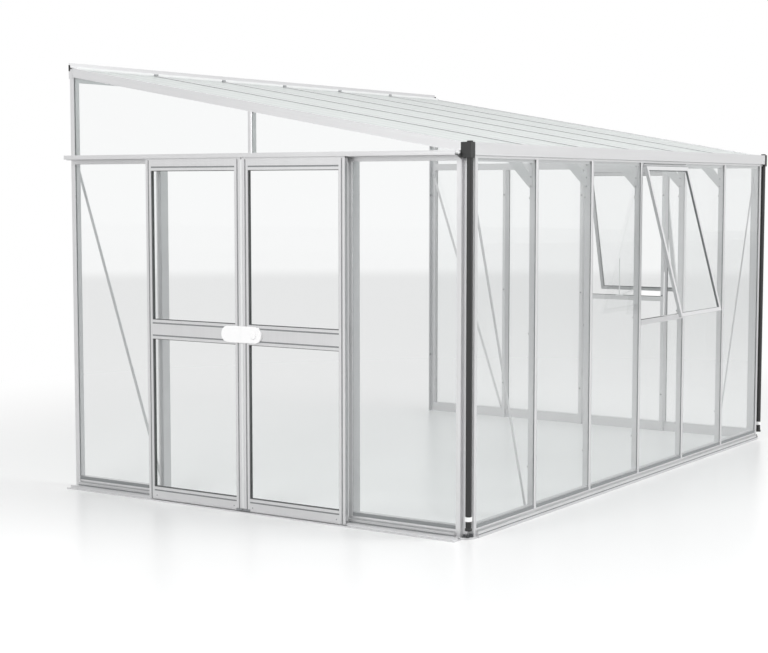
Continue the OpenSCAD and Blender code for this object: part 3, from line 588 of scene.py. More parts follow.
@dataclass
class Repeated:
    """One small shape stood on many spots by a Geometry Nodes tree, as one piece of one body."""

    name: str
    shape: Shape
    finish: Finish
    spots: list[Spot]
    body: str = FRAME_BODY
    slot: str = "aluminium"
    sides: int = 10
    taper: float = 0.72

    def unit(self, tree: bpy.types.NodeTree, given: bpy.types.Node) -> bpy.types.NodeSocket:
        """Adds the nodes of the shape, one unit wide, deep and high.

        Args:
            tree: the tree.
            given: its input node, with Sides and Taper.

        Returns:
            The shape's geometry.
        """
        top = add_node(tree, "ShaderNodeMath", {"operation": "MULTIPLY"},
                       {0: given.outputs["Taper"], 1: 0.5})
        if self.shape is Shape.BEAD:
            drum = add_node(tree, "GeometryNodeMeshCone", None,
                            {"Vertices": given.outputs["Sides"], "Radius Top": 0.5,
                             "Radius Bottom": 0.5, "Depth": 1.0})
            return drum.outputs["Mesh"]
        if self.shape is Shape.TUFT:
            spike = add_node(tree, "GeometryNodeMeshCone", None,
                             {"Vertices": 4, "Radius Top": top.outputs[0],
                              "Radius Bottom": 0.5, "Depth": 1.0})
            return spike.outputs["Mesh"]
        if self.shape is Shape.BLOCK:
            return self.chamfered(tree, given)
        sides = 6 if self.shape is Shape.NUT else given.outputs["Sides"]
        head = add_node(tree, "GeometryNodeMeshCone", None,
                        {"Vertices": sides, "Radius Top": top.outputs[0],
                         "Radius Bottom": 0.5, "Depth": 1.0})
        if self.shape is Shape.NUT:
            washer = add_node(tree, "GeometryNodeMeshCone", None,
                              {"Vertices": given.outputs["Sides"], "Radius Top": 0.68,
                               "Radius Bottom": 0.7, "Depth": 0.25})
            both = add_node(tree, "GeometryNodeJoinGeometry")
            tree.links.new(head.outputs["Mesh"], both.inputs[0])
            tree.links.new(washer.outputs["Mesh"], both.inputs[0])
            return both.outputs[0]
        tool = add_node(tree, "GeometryNodeMeshCone", None,
                        {"Vertices": 6, "Radius Top": 0.22, "Radius Bottom": 0.22, "Depth": 1.0})
        lifted = add_node(tree, "GeometryNodeTransform", None,
                          {"Geometry": tool.outputs["Mesh"], "Translation": (0.0, 0.0, 0.45)})
        socket = add_node(tree, "GeometryNodeMeshBoolean", {"operation": "DIFFERENCE"},
                          {0: head.outputs["Mesh"], 1: lifted.outputs[0]})
        return socket.outputs["Mesh"]

    def chamfered(self, tree: bpy.types.NodeTree, given: bpy.types.Node) -> bpy.types.NodeSocket:
        """Adds the nodes of a block that narrows in two steps towards its top and its foot."""
        parts = add_node(tree, "GeometryNodeJoinGeometry")
        for width, low, high in ((1.0, 0.12, 0.88), (0.88, 0.0, 1.0)):
            cube = add_node(tree, "GeometryNodeMeshCube", None, {"Size": (width, width, high - low)})
            moved = add_node(tree, "GeometryNodeTransform", None,
                             {"Geometry": cube.outputs["Mesh"],
                              "Translation": (0.0, 0.0, (low + high) / 2)})
            tree.links.new(moved.outputs[0], parts.inputs[0])
        return parts.outputs[0]

    def build(self) -> bpy.types.Object:
        """Builds the cloud of spots, runs the tree and hands the piece over.

        Returns:
            The piece.
        """
        cloud = bpy.data.meshes.new(self.name)
        cloud.from_pydata([spot.place for spot in self.spots], [], [])
        for key in ("size", "turn"):
            layer = cloud.attributes.new(key, "FLOAT_VECTOR", "POINT")
            layer.data.foreach_set("vector", [v for spot in self.spots for v in getattr(spot, key)])
        source = bpy.data.objects.new(self.name, cloud)
        bpy.context.scene.collection.objects.link(source)
        tree, given = new_tree(f"repeat_{self.name}", {
            "Sides": "NodeSocketInt", "Taper": "NodeSocketFloat", "Finish": "NodeSocketMaterial"})
        turns = add_node(tree, "GeometryNodeInputNamedAttribute", {"data_type": "FLOAT_VECTOR"},
                         {"Name": "turn"})
        sizes = add_node(tree, "GeometryNodeInputNamedAttribute", {"data_type": "FLOAT_VECTOR"},
                         {"Name": "size"})
        rotation = add_node(tree, "FunctionNodeEulerToRotation", None, {0: turns.outputs[0]})
        stood = add_node(tree, "GeometryNodeInstanceOnPoints", None, {
            "Points": given.outputs["Geometry"], "Instance": self.unit(tree, given),
            "Rotation": rotation.outputs[0], "Scale": sizes.outputs[0]})
        close_tree(tree, stood.outputs[0], given.outputs["Finish"])
        piece = plain_mesh(source, tree, {
            "Sides": self.sides, "Taper": self.taper, "Finish": self.finish.build()})
        hand_over(piece, self.body)
        return piece


@dataclass
class Thread:
    """A round ridge wound up a pipe, as a Geometry Nodes spiral."""

    name: str
    middles: list[Point]
    radius: float
    height: float
    turns: float
    ridge: float
    finish: Finish
    slot: str = "black_plastic"

    def build(self) -> bpy.types.Object:
        """Runs the spiral on a point at each pipe and hands the piece over.

        Returns:
            The piece.
        """
        cloud = bpy.data.meshes.new(self.name)
        cloud.from_pydata(self.middles, [], [])
        source = bpy.data.objects.new(self.name, cloud)
        bpy.context.scene.collection.objects.link(source)
        tree, given = new_tree(self.name, {
            "Radius": "NodeSocketFloat", "Height": "NodeSocketFloat", "Turns": "NodeSocketFloat",
            "Ridge": "NodeSocketFloat", "Finish": "NodeSocketMaterial"})
        wire = add_node(tree, "GeometryNodeCurveSpiral", None, {
            "Resolution": 24, "Rotations": given.outputs["Turns"],
            "Start Radius": given.outputs["Radius"], "End Radius": given.outputs["Radius"],
            "Height": given.outputs["Height"]})
        section = add_node(tree, "GeometryNodeCurvePrimitiveCircle", {"mode": "RADIUS"},
                           {"Resolution": 6, "Radius": given.outputs["Ridge"]})
        swept = add_node(tree, "GeometryNodeCurveToMesh", None, {
            "Curve": wire.outputs[0], "Profile Curve": section.outputs[0], "Fill Caps": True})
        stood = add_node(tree, "GeometryNodeInstanceOnPoints", None,
                         {"Points": given.outputs["Geometry"], "Instance": swept.outputs[0]})
        close_tree(tree, stood.outputs[0], given.outputs["Finish"])
        piece = plain_mesh(source, tree, {
            "Radius": self.radius, "Height": self.height, "Turns": self.turns,
            "Ridge": self.ridge, "Finish": self.finish.build()})
        hand_over(piece, FRAME_BODY)
        return piece


@dataclass
class Lathed:
    """Round parts turned from one profile, each about its own upright axis."""

    name: str
    profile: list[tuple[float, float]]
    middles: list[Point]
    finish: Finish
    slot: str = "black_plastic"
    sides: int = 32

    def build(self) -> bpy.types.Object:
        """Turns the closed profile round each axis and hands the piece over.

        Returns:
            The piece.
        """
        shape = bmesh.new()
        step = 2 * math.pi / self.sides
        for middle in self.middles:
            rings = [[shape.verts.new((middle[0] + r * math.cos(step * k),
                                       middle[1] + r * math.sin(step * k), middle[2] + z))
                      for k in range(self.sides)] for r, z in self.profile]
            for ring, above in zip(rings, rings[1:] + rings[:1]):
                for k in range(self.sides):
                    n = (k + 1) % self.sides
                    shape.faces.new((ring[k], ring[n], above[n], above[k]))
        bmesh.ops.recalc_face_normals(shape, faces=shape.faces)
        mesh = bpy.data.meshes.new(self.name)
        shape.to_mesh(mesh)
        shape.free()
        mesh.materials.append(self.finish.build())
        piece = bpy.data.objects.new(self.name, mesh)
        bpy.context.scene.collection.objects.link(piece)
        hand_over(piece, FRAME_BODY)
        return piece


@dataclass
class DoorGrip:
    """White lock case across both doors: one half on each, round at its outer end."""

    door: str
    # Height of the doors' meeting line, and which way this half reaches from it.
    meeting_y: float
    side: float
    middle_z: float = 1.085
    reach: float = 0.150
    height: float = 0.102
    thick: float = 0.014
    overhang: float = 0.0022
    edge: float = 0.005

    def outline(self) -> list[tuple[float, float]]:
        """Outline of the half as distance from the meeting line and height."""
        radius = self.height / 2
        straight = self.reach - radius
        points = [(-self.overhang, -radius), (straight, -radius)]
        points += [(straight + radius * math.sin(a), -radius * math.cos(a))
                   for a in (math.pi * k / 24 for k in range(1, 24))]
        return points + [(straight, radius), (-self.overhang, radius)]

    def build(self) -> bpy.types.Object:
        """Builds the half with its rounded rim, and the knob on the right one.

        Returns:
            The piece.
        """
        back = -LENGTH / 2 - 0.068
        shape = bmesh.new()
        levels = [(back, 0.0), (back - self.thick + self.edge, 0.0)]
        levels += [(back - self.thick + self.edge * (1 - math.sin(a)), self.edge * (1 - math.cos(a)))
                   for a in (math.pi / 8, math.pi / 4, math.pi * 3 / 8, math.pi / 2)]
        rings = [self.ring(shape, x, inset) for x, inset in levels]
        for ring, above in zip(rings, rings[1:]):
            for k, vert in enumerate(ring):
                n = (k + 1) % len(ring)
                shape.faces.new((vert, ring[n], above[n], above[k]))
        shape.faces.new(rings[0])
        shape.faces.new(rings[-1])
        if self.side < 0:
            self.knob(shape, back - self.thick)
        bmesh.ops.recalc_face_normals(shape, faces=shape.faces)
        mesh = bpy.data.meshes.new(f"{self.door}_lock_case")
        shape.to_mesh(mesh)
        shape.free()
        mesh.materials.append(LOCK_WHITE.build())
        piece = bpy.data.objects.new(mesh.name, mesh)
        bpy.context.scene.collection.objects.link(piece)
        hand_over(piece, self.door, (self.door.replace("door", "grip"),))
        return piece

    def ring(self, shape: bmesh.types.BMesh, x: float, inset: float) -> list[bmesh.types.BMVert]:
        """Adds the outline's points at one depth, drawn in by an inset.

        Args:
            shape: the mesh being built.
            x: place of the ring.
            inset: how far the rim is drawn in.

        Returns:
            The ring's points.
        """
        half = self.height / 2
        squeeze = (half - inset) / half
        ring = []
        for u, v in self.outline():
            along = u if u <= 0 else min(u, self.reach - half) + max(u - self.reach + half, 0) * squeeze
            ring.append(shape.verts.new((x, self.meeting_y + self.side * along,
                                         self.middle_z + v * squeeze)))
        return ring

    def knob(self, shape: bmesh.types.BMesh, face_x: float) -> None:
        """Adds the turning knob, a low dome with a rim.

        Args:
            shape: the mesh being built.
            face_x: place of the case's outer face.
        """
        middle = (self.meeting_y - 0.0915, self.middle_z - 0.003)
        rings = []
        for radius, rise in ((0.021, -0.001), (0.021, 0.004), (0.0185, 0.0065), (0.011, 0.0072)):
            rings.append([shape.verts.new((face_x - rise, middle[0] + radius * math.cos(a),
                                           middle[1] + radius * math.sin(a)))
                          for a in (2 * math.pi * k / 32 for k in range(32))])
        for ring, above in zip(rings, rings[1:]):
            for k in range(32):
                n = (k + 1) % 32
                shape.faces.new((ring[k], ring[n], above[n], above[k]))
        shape.faces.new(rings[0])
        shape.faces.new(rings[-1])


@dataclass
class DoorTrim:
    """Rubber beads, grey strips of painted shade in the grooves, seal, screws and foot of one sliding
    door.
    """

    door: str
    meeting_y: float
    side: float
    face_x: float = -LENGTH / 2 - 0.068
    back_x: float = -LENGTH / 2 - 0.038
    bottom_z: float = 0.010
    top_z: float = 2.136
    meeting_stile: float = 0.049
    light_w: float = 0.660
    lights: tuple[tuple[float, float], ...] = ((0.088, 1.025), (1.145, 2.071))
    bead: float = 0.004
    bead_back: float = 0.0026
    groove_at: float = 0.017
    groove_w: float = 0.009
    # Width of the painted shade strips in the stiles' grooves.
    stile_shade_w: float = 0.004

    def along(self, near: float, far: float) -> tuple[float, float]:
        """Turns two distances from the meeting edge into places along Y, the lower first."""
        ends = sorted((self.meeting_y + self.side * near, self.meeting_y + self.side * far))
        return (ends[0], ends[1])

    def beads(self) -> list[Spot]:
        """Black glazing beads round both lights, on the outside and the inside of the panes."""
        spots = []
        glass = (self.face_x + 0.0130, self.back_x - 0.0130)
        depths = ((self.face_x + self.bead_back, glass[0]), (glass[1], self.back_x - self.bead_back))
        y_low, y_high = self.along(self.meeting_stile, self.meeting_stile + self.light_w)
        for z_low, z_high in self.lights:
            for x_low, x_high in depths:
                for y in (y_low, y_high - self.bead):
                    spots.append(strip((x_low, y, z_low), (x_high, y + self.bead, z_high)))
                for z in (z_low, z_high - self.bead):
                    spots.append(lying((x_low, y_low, z), (x_high, y_high, z + self.bead)))
        return spots

    def groove_shade(self) -> list[Spot]:
        """Grey strips of painted shade in the grooves of the rails, and narrower ones in those of the
        stiles.
        """
        spots = []
        near, far = self.face_x + 0.0008, self.face_x + 0.0049
        y_low, y_high = self.along(self.meeting_stile, self.meeting_stile + self.light_w)
        for z_low, z_high in self.lights:
            for z in (z_low - self.groove_at - self.groove_w, z_high + self.groove_at):
                spots.append(lying((near, y_low, z), (far, y_high, z + self.groove_w)))
        inset = (self.groove_w - self.stile_shade_w) / 2
        for start in (self.meeting_stile - self.groove_at - self.groove_w,
                      self.meeting_stile + self.light_w + self.groove_at):
            y_low, y_high = self.along(start + inset, start + inset + self.stile_shade_w)
            spots.append(strip((near + 0.001, y_low, self.bottom_z + 0.001),
                               (far, y_high, self.top_z - 0.001)))
        return spots

    def seal(self) -> list[Spot]:
        """Half of the pale seal that closes the gap between the doors."""
        y_low, y_high = self.along(-0.0023, 0.0040)
        return [strip((self.face_x - 0.0010, y_low, self.bottom_z + 0.014),
                      (self.face_x - 0.0001, y_high, self.top_z - 0.002)),
                strip((self.face_x - 0.0006, y_low, self.bottom_z + 0.014),
                      (self.face_x + 0.0200, y_low + 0.0023 if self.side > 0 else y_high,
                       self.top_z - 0.002))]

    def pile(self) -> list[Spot]:
        """Bristles behind the seal, in tufts 8 mm apart."""
        y = self.meeting_y + self.side * 0.0004
        turn = facing(0.0, -self.side, 0.0)
        count = int((self.top_z - 0.06) / 0.008)
        return [Spot((self.back_x - 0.006, y, 0.03 + 0.008 * k), (0.0075, 0.005, 0.0024), turn)
                for k in range(count)]

    def screws(self) -> list[Spot]:
        """Screws at the ends of the bottom rail, and of the top rail's inner face."""
        spots = []
        for inset in (self.meeting_stile + 0.020, self.meeting_stile + self.light_w - 0.020):
            y = self.meeting_y + self.side * inset
            spots.append(Spot((self.face_x, y, 0.034), (0.009, 0.009, 0.0028),
                              facing(-1.0, 0.0, 0.0)))
            for z in (0.049, 1.085, 2.104):
                spots.append(Spot((self.back_x, y, z), (0.009, 0.009, 0.0028),
                                  facing(1.0, 0.0, 0.0)))
        return spots

    def foot(self) -> list[Spot]:
        """Grey buffer at the foot of the meeting stile."""
        y_low, y_high = self.along(0.0005, self.meeting_stile)
        return [strip((self.face_x - 0.0035, y_low, self.bottom_z - 0.001),
                      (self.face_x + 0.008, y_high, self.bottom_z + 0.013))]

    def build(self) -> None:
        """Builds the trim, each kind as one piece that rides on the door."""
        Repeated(f"{self.door}_beads", Shape.BEAD, RUBBER, self.beads(), self.door,
                 "black_plastic").build()
        # Grey strips of painted shade in the door's grooves.
        Repeated(f"{self.door}_groove_strips", Shape.BEAD, BEAD_AND_SHADE_GREY, self.groove_shade(), self.door,
                 "black_plastic", sides=8).build()
        Repeated(f"{self.door}_seal", Shape.BLOCK, PALE_RUBBER, self.seal(), self.door,
                 "white_plastic").build()
        Repeated(f"{self.door}_pile", Shape.TUFT, GREY_PLASTIC, self.pile(), self.door,
                 "black_plastic").build()
        Repeated(f"{self.door}_screws", Shape.SCREW, STEEL, self.screws(), self.door).build()
        Repeated(f"{self.door}_foot", Shape.BLOCK, GREY_PLASTIC, self.foot(), self.door,
                 "black_plastic").build()


@dataclass
class FrameFixings:
    """Screws, bolts and plugs of the fixed frame."""

    plate_gap: float = 0.0165
    post_half: float = 0.0125
    bar_d: float = 0.050
    gable_d: float = 0.082
    head: Point = (0.011, 0.011, 0.0035)
    bolt: Point = (0.016, 0.016, 0.007)

    def knees(self) -> list[Spot]:
        """Screws that hold each knee plate to its post and to its rafter."""
        spots = []
        for x in LONG_BARS:
            for y, z in ((0.041, 2.108), (0.041, 2.030), (0.041, 1.975), (0.075, 0.0),
                         (0.160, 0.0), (0.245, 0.0)):
                z = z or roof_z(y, 0.056) + 0.010
                spots.append(Spot((x - self.plate_gap, y, z), self.head, facing(-1.0, 0.0, 0.0)))
        return spots

    def plugs(self) -> list[Spot]:
        """Small round plugs on the inner faces of the posts, below the knee plates."""
        inner = self.bar_d
        spots = [Spot((x, inner, z), (0.013, 0.013, 0.009), facing(0.0, 1.0, 0.0))
                 for x in LONG_BARS for z in (1.905, 1.100, 0.300)]
        for x, side in ((-LENGTH / 2 + self.gable_d, 1.0), (LENGTH / 2 - self.gable_d, -1.0)):
            bars = (GABLE_BARS[0], GABLE_BARS[2]) if side > 0 else GABLE_BARS
            spots += [Spot((x, y, z), (0.013, 0.013, 0.007), facing(side, 0.0, 0.0))
                      for y in bars for z in (1.905, 1.100, 0.300)]
        return spots

    def braces(self) -> list[Spot]:
        """Screws near both ends of every wind brace."""
        spots = []
        for end in (-1.0, 1.0):
            for u, z in ((0.749, 0.057), (0.742, 0.076), (0.075, 2.072), (0.082, 2.053)):
                spots.append(Spot((end * (LENGTH / 2 - u), self.bar_d + 0.004, z), self.head,
                                  facing(0.0, 1.0, 0.0)))
            for y, z in ((2.291, 0.075), (2.298, 0.095), (2.982, 2.075), (2.976, 2.055)):
                spots.append(Spot((end * (LENGTH / 2 - self.bar_d - 0.004), y, z), self.head,
                                  facing(-end, 0.0, 0.0)))
        return spots

    def wall_bolts(self) -> list[Spot]:
        """Bolts with washers that hold the frame to the house wall."""
        turn = facing(0.0, -1.0, 0.0)
        low_z = roof_z(DEPTH - 0.030, 0.059) - 0.015
        spots = [Spot((end * (LENGTH / 2 - 0.065), DEPTH - 0.006, z), self.bolt, turn)
                 for end in (-1.0, 1.0) for z in (0.500, 1.900)]
        spots += [Spot((-LENGTH / 2 + (k + 0.5) * LENGTH / 6, DEPTH - 0.006, low_z), self.bolt, turn)
                  for k in range(6)]
        return spots

    def corner_bolts(self) -> list[Spot]:
        """Bolts on the foot plates, in the pockets of the corner posts."""
        spots = []
        for end in (-1.0, 1.0):
            for u, v in ((0.036, 0.010), (0.010, 0.036), (0.014, 0.014), (0.043, 0.006)):
                spots.append(Spot((end * (LENGTH / 2 - u), v, 0.012), (0.016, 0.016, 0.018)))
        return spots

    def build(self) -> None:
        """Builds the fixings, each kind as one piece of the frame."""
        Repeated("knee_screws", Shape.SCREW, STEEL, self.knees(), sides=16).build()
        Repeated("post_plugs", Shape.SCREW, GREY_PLASTIC, self.plugs(), slot="black_plastic",
                 sides=16).build()
        Repeated("brace_screws", Shape.SCREW, STEEL, self.braces(), sides=16).build()
        Repeated("wall_bolts", Shape.NUT, STEEL, self.wall_bolts(), sides=20).build()
        Repeated("corner_bolts", Shape.NUT, DARK_STEEL, self.corner_bolts(), sides=16).build()


@dataclass
class Glazing:
    """Rubber beads between the bars' caps and the fixed panes, and plates at the rails' ends."""

    cap_half: float = 0.0155
    front: float = 0.0050
    glass: float = 0.0083
    width: float = 0.0034
    roof_bead: float = 0.005
    rail_z: float = 0.075
    transom_z: float = 2.116
    arm: float = 0.085
    wall_post: float = 0.042
    wedge_z: tuple[float, float] = (0.054, 0.074)
    # Depth and heights of the strip of painted shade in the groove under each rail's nose.
    nose_shade_depth: tuple[float, float] = (-0.0146, -0.0120)
    nose_z: tuple[float, float] = (0.014, 0.023)

    def upright(self, along: float, low: float, high: float, gable: float) -> Spot:
        """One upright bead at a cap's edge.

        Args:
            along: place of the bead's middle along its side.
            low: its foot.
            high: its top.
            gable: 0 on the long side, -1 on the doors' gable, 1 on the far gable.

        Returns:
            The spot.
        """
        half = self.width / 2
        if gable == 0:
            return strip((along - half, self.front, low), (along + half, self.glass, high))
        near, far = sorted((gable * (LENGTH / 2 - self.front), gable * (LENGTH / 2 - self.glass)))
        return strip((near, along - half, low), (far, along + half, high))

    def long_side(self) -> list[Spot]:
        """Beads at both edges of the caps of the long side, and beside the corner posts."""
        edge = self.cap_half - self.width / 2
        spots = []
        for k, x in enumerate(LONG_BARS):
            for side in (-1.0, 1.0):
                by_window = (k == 2 and side > 0) or (k == 3 and side < 0)
                spots.append(self.upright(x + side * edge, self.rail_z,
                                          1.050 if by_window else EAVE_Z, 0.0))
        corner = LENGTH / 2 - self.arm + self.width / 2
        spots += [self.upright(end * corner, self.rail_z, EAVE_Z, 0.0) for end in (-1.0, 1.0)]
        return spots

    def gables(self) -> list[Spot]:
        """Beads at the caps' edges of the gables, up to the transoms."""
        edge = self.cap_half - self.width / 2
        spots = []
        for gable in (-1.0, 1.0):
            for k, y in enumerate(GABLE_BARS):
                for side in (-1.0, 1.0):
                    doorway = gable < 0 and (k == 1 or (k == 0 and side > 0) or (k == 2 and side < 0))
                    if doorway:
                        continue
                    window = gable > 0 and ((k == 0 and side > 0) or (k == 1 and side < 0))
                    spots.append(self.upright(y + side * edge, self.rail_z,
                                              1.050 if window else self.transom_z, gable))
            for y in (self.arm - self.width / 2, DEPTH - self.wall_post + self.width / 2):
                spots.append(self.upright(y, self.rail_z, self.transom_z, gable))
            for side in (-1.0, 1.0):
                y = GABLE_BARS[1] + side * edge
                spots.append(self.upright(y, 2.171, roof_z(y, 0.058), gable))
        return spots

    def run(self, ends: tuple[float, float], depth: tuple[float, float],
            z: tuple[float, float], gable: float) -> Spot:
        """One strip that lies along a side of the house.

        Args:
            ends: where it starts and stops along its side.
            depth: its outer and inner face, from the cap line inwards.
            z: its foot and its top.
            gable: 0 on the long side, -1 on the doors' gable, 1 on the far gable.

        Returns:
            The spot.
        """
        if gable == 0:
            return lying((ends[0], depth[0], z[0]), (ends[1], depth[1], z[1]))
        near, far = sorted(gable * (LENGTH / 2 - d) for d in depth)
        return lying((near, ends[0], z[0]), (far, ends[1], z[1]))

    def base_wedges_and_shade_strips(self) -> list[Spot]:
        """Wedge strips before the panes' feet, and a strip of painted shade in the groove along each
        rail's nose.
        """
        corner, wall = LENGTH / 2 - self.arm, DEPTH - self.wall_post
        sides = ((0.0, [-corner, *LONG_BARS, corner]),
                 (-1.0, [self.arm, GABLE_BARS[0]]),
                 (-1.0, [GABLE_BARS[2], wall]),
                 (1.0, [self.arm, *GABLE_BARS, wall]))
        spots = []
        for gable, stops in sides:
            for start, stop in zip(stops, stops[1:]):
                near = start if abs(start) in (corner, self.arm) else start + self.cap_half
                far = stop if stop in (corner, wall) else stop - self.cap_half
                spots.append(self.run((near, far), (0.0006, self.front), self.wedge_z, gable))
            spots.append(self.run((stops[0], stops[-1]), self.nose_shade_depth, self.nose_z, gable))
        return spots

    def roof_lines(self) -> list[Spot]:
        """Beads on the roof sheets, along both edges of the rafters' caps."""
        start, stop = 0.012, DEPTH - 0.056
        length = (stop - start) / math.cos(ROOF_PITCH)
        turn = (ROOF_PITCH - math.pi / 2, 0.0, 0.0)
        reach = self.cap_half + self.roof_bead / 2
        return [Spot((x + side * reach, start, roof_z(start, 0.0040)),
                     (self.roof_bead, 0.0032, length), turn)
                for x in LONG_BARS for side in (-1.0, 1.0)]

    def rail_ends(self) -> list[Spot]:
        """Plates that close the hollow ends of the base rails beside the corner posts."""
        spots = []
        for end in (-1.0, 1.0):
            x = end * (LENGTH / 2 - self.arm + 0.0012)
            spots.append(strip((x - 0.001, -0.0135, 0.004), (x + 0.001, -0.0002, 0.036)))
            faces = sorted((end * (LENGTH / 2 + 0.0002), end * (LENGTH / 2 + 0.0135)))
            spots.append(lying((faces[0], self.arm - 0.0022, 0.004),
                               (faces[1], self.arm - 0.0002, 0.036)))
        return spots

    def build(self) -> None:
        """Builds the beads, the base strips with their line of painted shade, and the rails' end
        plates.
        """
        Repeated("long_side_beads", Shape.BEAD, BEAD_AND_SHADE_GREY, self.long_side(), slot="black_plastic",
                 sides=8).build()
        Repeated("gable_beads", Shape.BEAD, BEAD_AND_SHADE_GREY, self.gables(), slot="black_plastic",
                 sides=8).build()
        # The wedges are rubber; the strip along each rail's nose is painted shade.
        Repeated("base_wedges_and_shade_strips", Shape.BEAD, BEAD_AND_SHADE_GREY, self.base_wedges_and_shade_strips(), slot="black_plastic",
                 sides=8).build()
        Repeated("roof_beads", Shape.BEAD, ROOF_GREY, self.roof_lines(), slot="black_plastic",
                 sides=8).build()
        Repeated("rail_end_plates", Shape.BLOCK, BAR_UP, self.rail_ends()).build()


@dataclass
class WindowTrim:
    """Beads of the two open sashes, and the seals on the sills below them."""

    open_deg: float = 15.0
    hinge_out: float = 0.008
    hinge_wrap: float = 0.0073
    sash_from: float = 0.0205
    sash_w: float = 0.689
    frame_w: float = 0.025
    bead: float = 0.004
    # Outer and inner face of the beads on either side of the pane, inwards from the hinge's plane.
    outer: tuple[float, float] = (-0.0120, -0.0050)
    inner: tuple[float, float] = (-0.0010, 0.0060)
    sill_top: float = 1.085
    # The strips at the hinge, the upper one painted shadow: depth from the cap line, height from the
    # hinge's pin.
    gap_shadow_y: tuple[float, float] = (-0.0100, -0.0010)
    gap_shadow_z: tuple[float, float] = (0.0125, 0.0184)
    nose_y: tuple[float, float] = (-0.0160, -0.0150)
    nose_z: tuple[float, float] = (-0.0025, 0.0025)

    def places(self) -> list[tuple[Matrix, float, float]]:
        """Frame of each window's bay, height of its hinge and drop of its sash."""
        gable = Matrix.Translation((LENGTH / 2, 0.0, 0.0)) @ Matrix.Rotation(math.pi / 2, 4, "Z")
        return [(Matrix.Translation((LONG_BARS[2], 0.0, 0.0)), 2.111, 1.031),
                (gable @ Matrix.Translation((GABLE_BARS[0], 0.0, 0.0)), 2.097, 1.017)]

    def moved(self, spot: Spot, by: Matrix) -> Spot:
        """Moves and turns a spot.

        Args:
            spot: the spot in the window's own frame.
            by: that frame.

        Returns:
            The spot in the greenhouse's frame.
        """
        place = by @ Vector(spot.place)
        turn = (by.to_3x3() @ Euler(spot.turn).to_matrix()).to_euler()
        return Spot((place.x, place.y, place.z), spot.size, (turn.x, turn.y, turn.z))

    def beads(self) -> list[Spot]:
        """Beads round both panes, on the outside and the inside."""
        spots = []
        left, right = self.frame_w, self.sash_w - self.frame_w
        for bay, hinge_z, drop in self.places():
            sash = (bay @ Matrix.Translation((self.sash_from, -self.hinge_out, hinge_z))
                    @ Matrix.Rotation(-math.radians(self.open_deg), 4, "X"))
            low, high = self.frame_w - drop, -self.frame_w - self.hinge_wrap
            for near, far in (self.outer, self.inner):
                for x in (left, right - self.bead):
                    upright = strip((x, near, low), (x + self.bead, far, high))
                    spots.append(self.moved(upright, sash))
                for z in (low, high - self.bead):
                    across = lying((left, near, z), (right, far, z + self.bead))
                    spots.append(self.moved(across, sash))
        return spots

    def seals(self) -> list[Spot]:
        """Seal on each sill, where the foot of the sash closes."""
        seal = lying((self.sash_from, 0.001, self.sill_top - 0.0005),
                     (self.sash_from + self.sash_w, 0.0055, self.sill_top + 0.0045))
        return [self.moved(seal, bay) for bay, _, _ in self.places()]

    def hinge_shadow_and_nose_lines(self) -> list[Spot]:
        """Strip of painted shadow in the gap above each hinge, and a thinner one along the hinge's
        nose.
        """
        spots = []
        for bay, hinge_z, _ in self.places():
            for (near, far), (low, high) in ((self.gap_shadow_y, self.gap_shadow_z), (self.nose_y, self.nose_z)):
                line = lying((self.sash_from, near, hinge_z + low),
                             (self.sash_from + self.sash_w, far, hinge_z + high))
                spots.append(self.moved(line, bay))
        return spots

    def build(self) -> None:
        """Builds the beads, the seals and the hinges' strips, the upper one painted shadow."""
        Repeated("sash_beads", Shape.BEAD, BEAD_AND_SHADE_GREY, self.beads(), slot="black_plastic",
                 sides=8).build()
        Repeated("sill_seals", Shape.BEAD, RUBBER, self.seals(), slot="black_plastic",
                 sides=8).build()
        # The strip in the gap above each hinge, under the gutter, is painted shadow.
        Repeated("hinge_shadow_and_nose_strips", Shape.BEAD, BEAD_AND_SHADE_GREY, self.hinge_shadow_and_nose_lines(), slot="black_plastic",
                 sides=8).build()


@dataclass
class WallPlateTrim:
    """Sealing lip, joint clips and end caps of the wall plate."""

    lip_y: float = 2.958
    lip_h: float = 0.019
    lip_d: float = 0.006
    joint: float = 0.022

    def lips(self) -> list[Spot]:
        """Pale sealing lip along the flashing's lower edge, one length over each bay."""
        edges = [-LENGTH / 2, *LONG_BARS, LENGTH / 2]
        low_z = roof_z(self.lip_y) - 0.0065
        spots = []
        for near, far in zip(edges, edges[1:]):
            spots.append(Spot((near + self.joint, self.lip_y, low_z + self.lip_h / 2),
                              (self.lip_h, self.lip_d, far - near - 2 * self.joint),
                              (0.0, math.pi / 2, 0.0)))
        return spots

    def clips(self) -> list[Spot]:
        """Grey clips between the lips, over each roof bar."""
        low_z = roof_z(self.lip_y) + 0.001
        return [strip((x - self.joint, self.lip_y - 0.003, low_z),
                      (x + self.joint, self.lip_y + 0.004, low_z + 0.009)) for x in LONG_BARS]

    def end_plates(self) -> list[Spot]:
        """Aluminium plates over the open ends of the wall plate's box."""
        spots = []
        for end in (-1.0, 1.0):
            low, high = sorted((end * (LENGTH / 2 + 0.0004), end * (LENGTH / 2 + 0.0026)))
            spots.append(lying((low, DEPTH - 0.031, 2.666), (high, DEPTH - 0.0005, 2.727)))
        return spots

    def end_caps(self) -> list[Spot]:
        """Black caps on the ends of the wall plate's upstand."""
        spots = []
        for end in (-1.0, 1.0):
            low, high = sorted((end * (LENGTH / 2 + 0.0004), end * (LENGTH / 2 + 0.0044)))
            spots.append(lying((low, DEPTH - 0.013, 2.716), (high, DEPTH - 0.001, 2.756)))
        return spots

    def build(self) -> None:
        """Builds the wall plate's trim."""
        Repeated("wall_plate_lips", Shape.BEAD, PALE_RUBBER, self.lips(), slot="white_plastic").build()
        Repeated("wall_plate_clips", Shape.BLOCK, ROOF_GREY, self.clips(),
                 slot="black_plastic").build()
        Repeated("wall_plate_ends", Shape.BLOCK, BAR_UP, self.end_plates()).build()
        Repeated("wall_plate_caps", Shape.BLOCK, BLACK_PLASTIC, self.end_caps(),
                 slot="black_plastic").build()


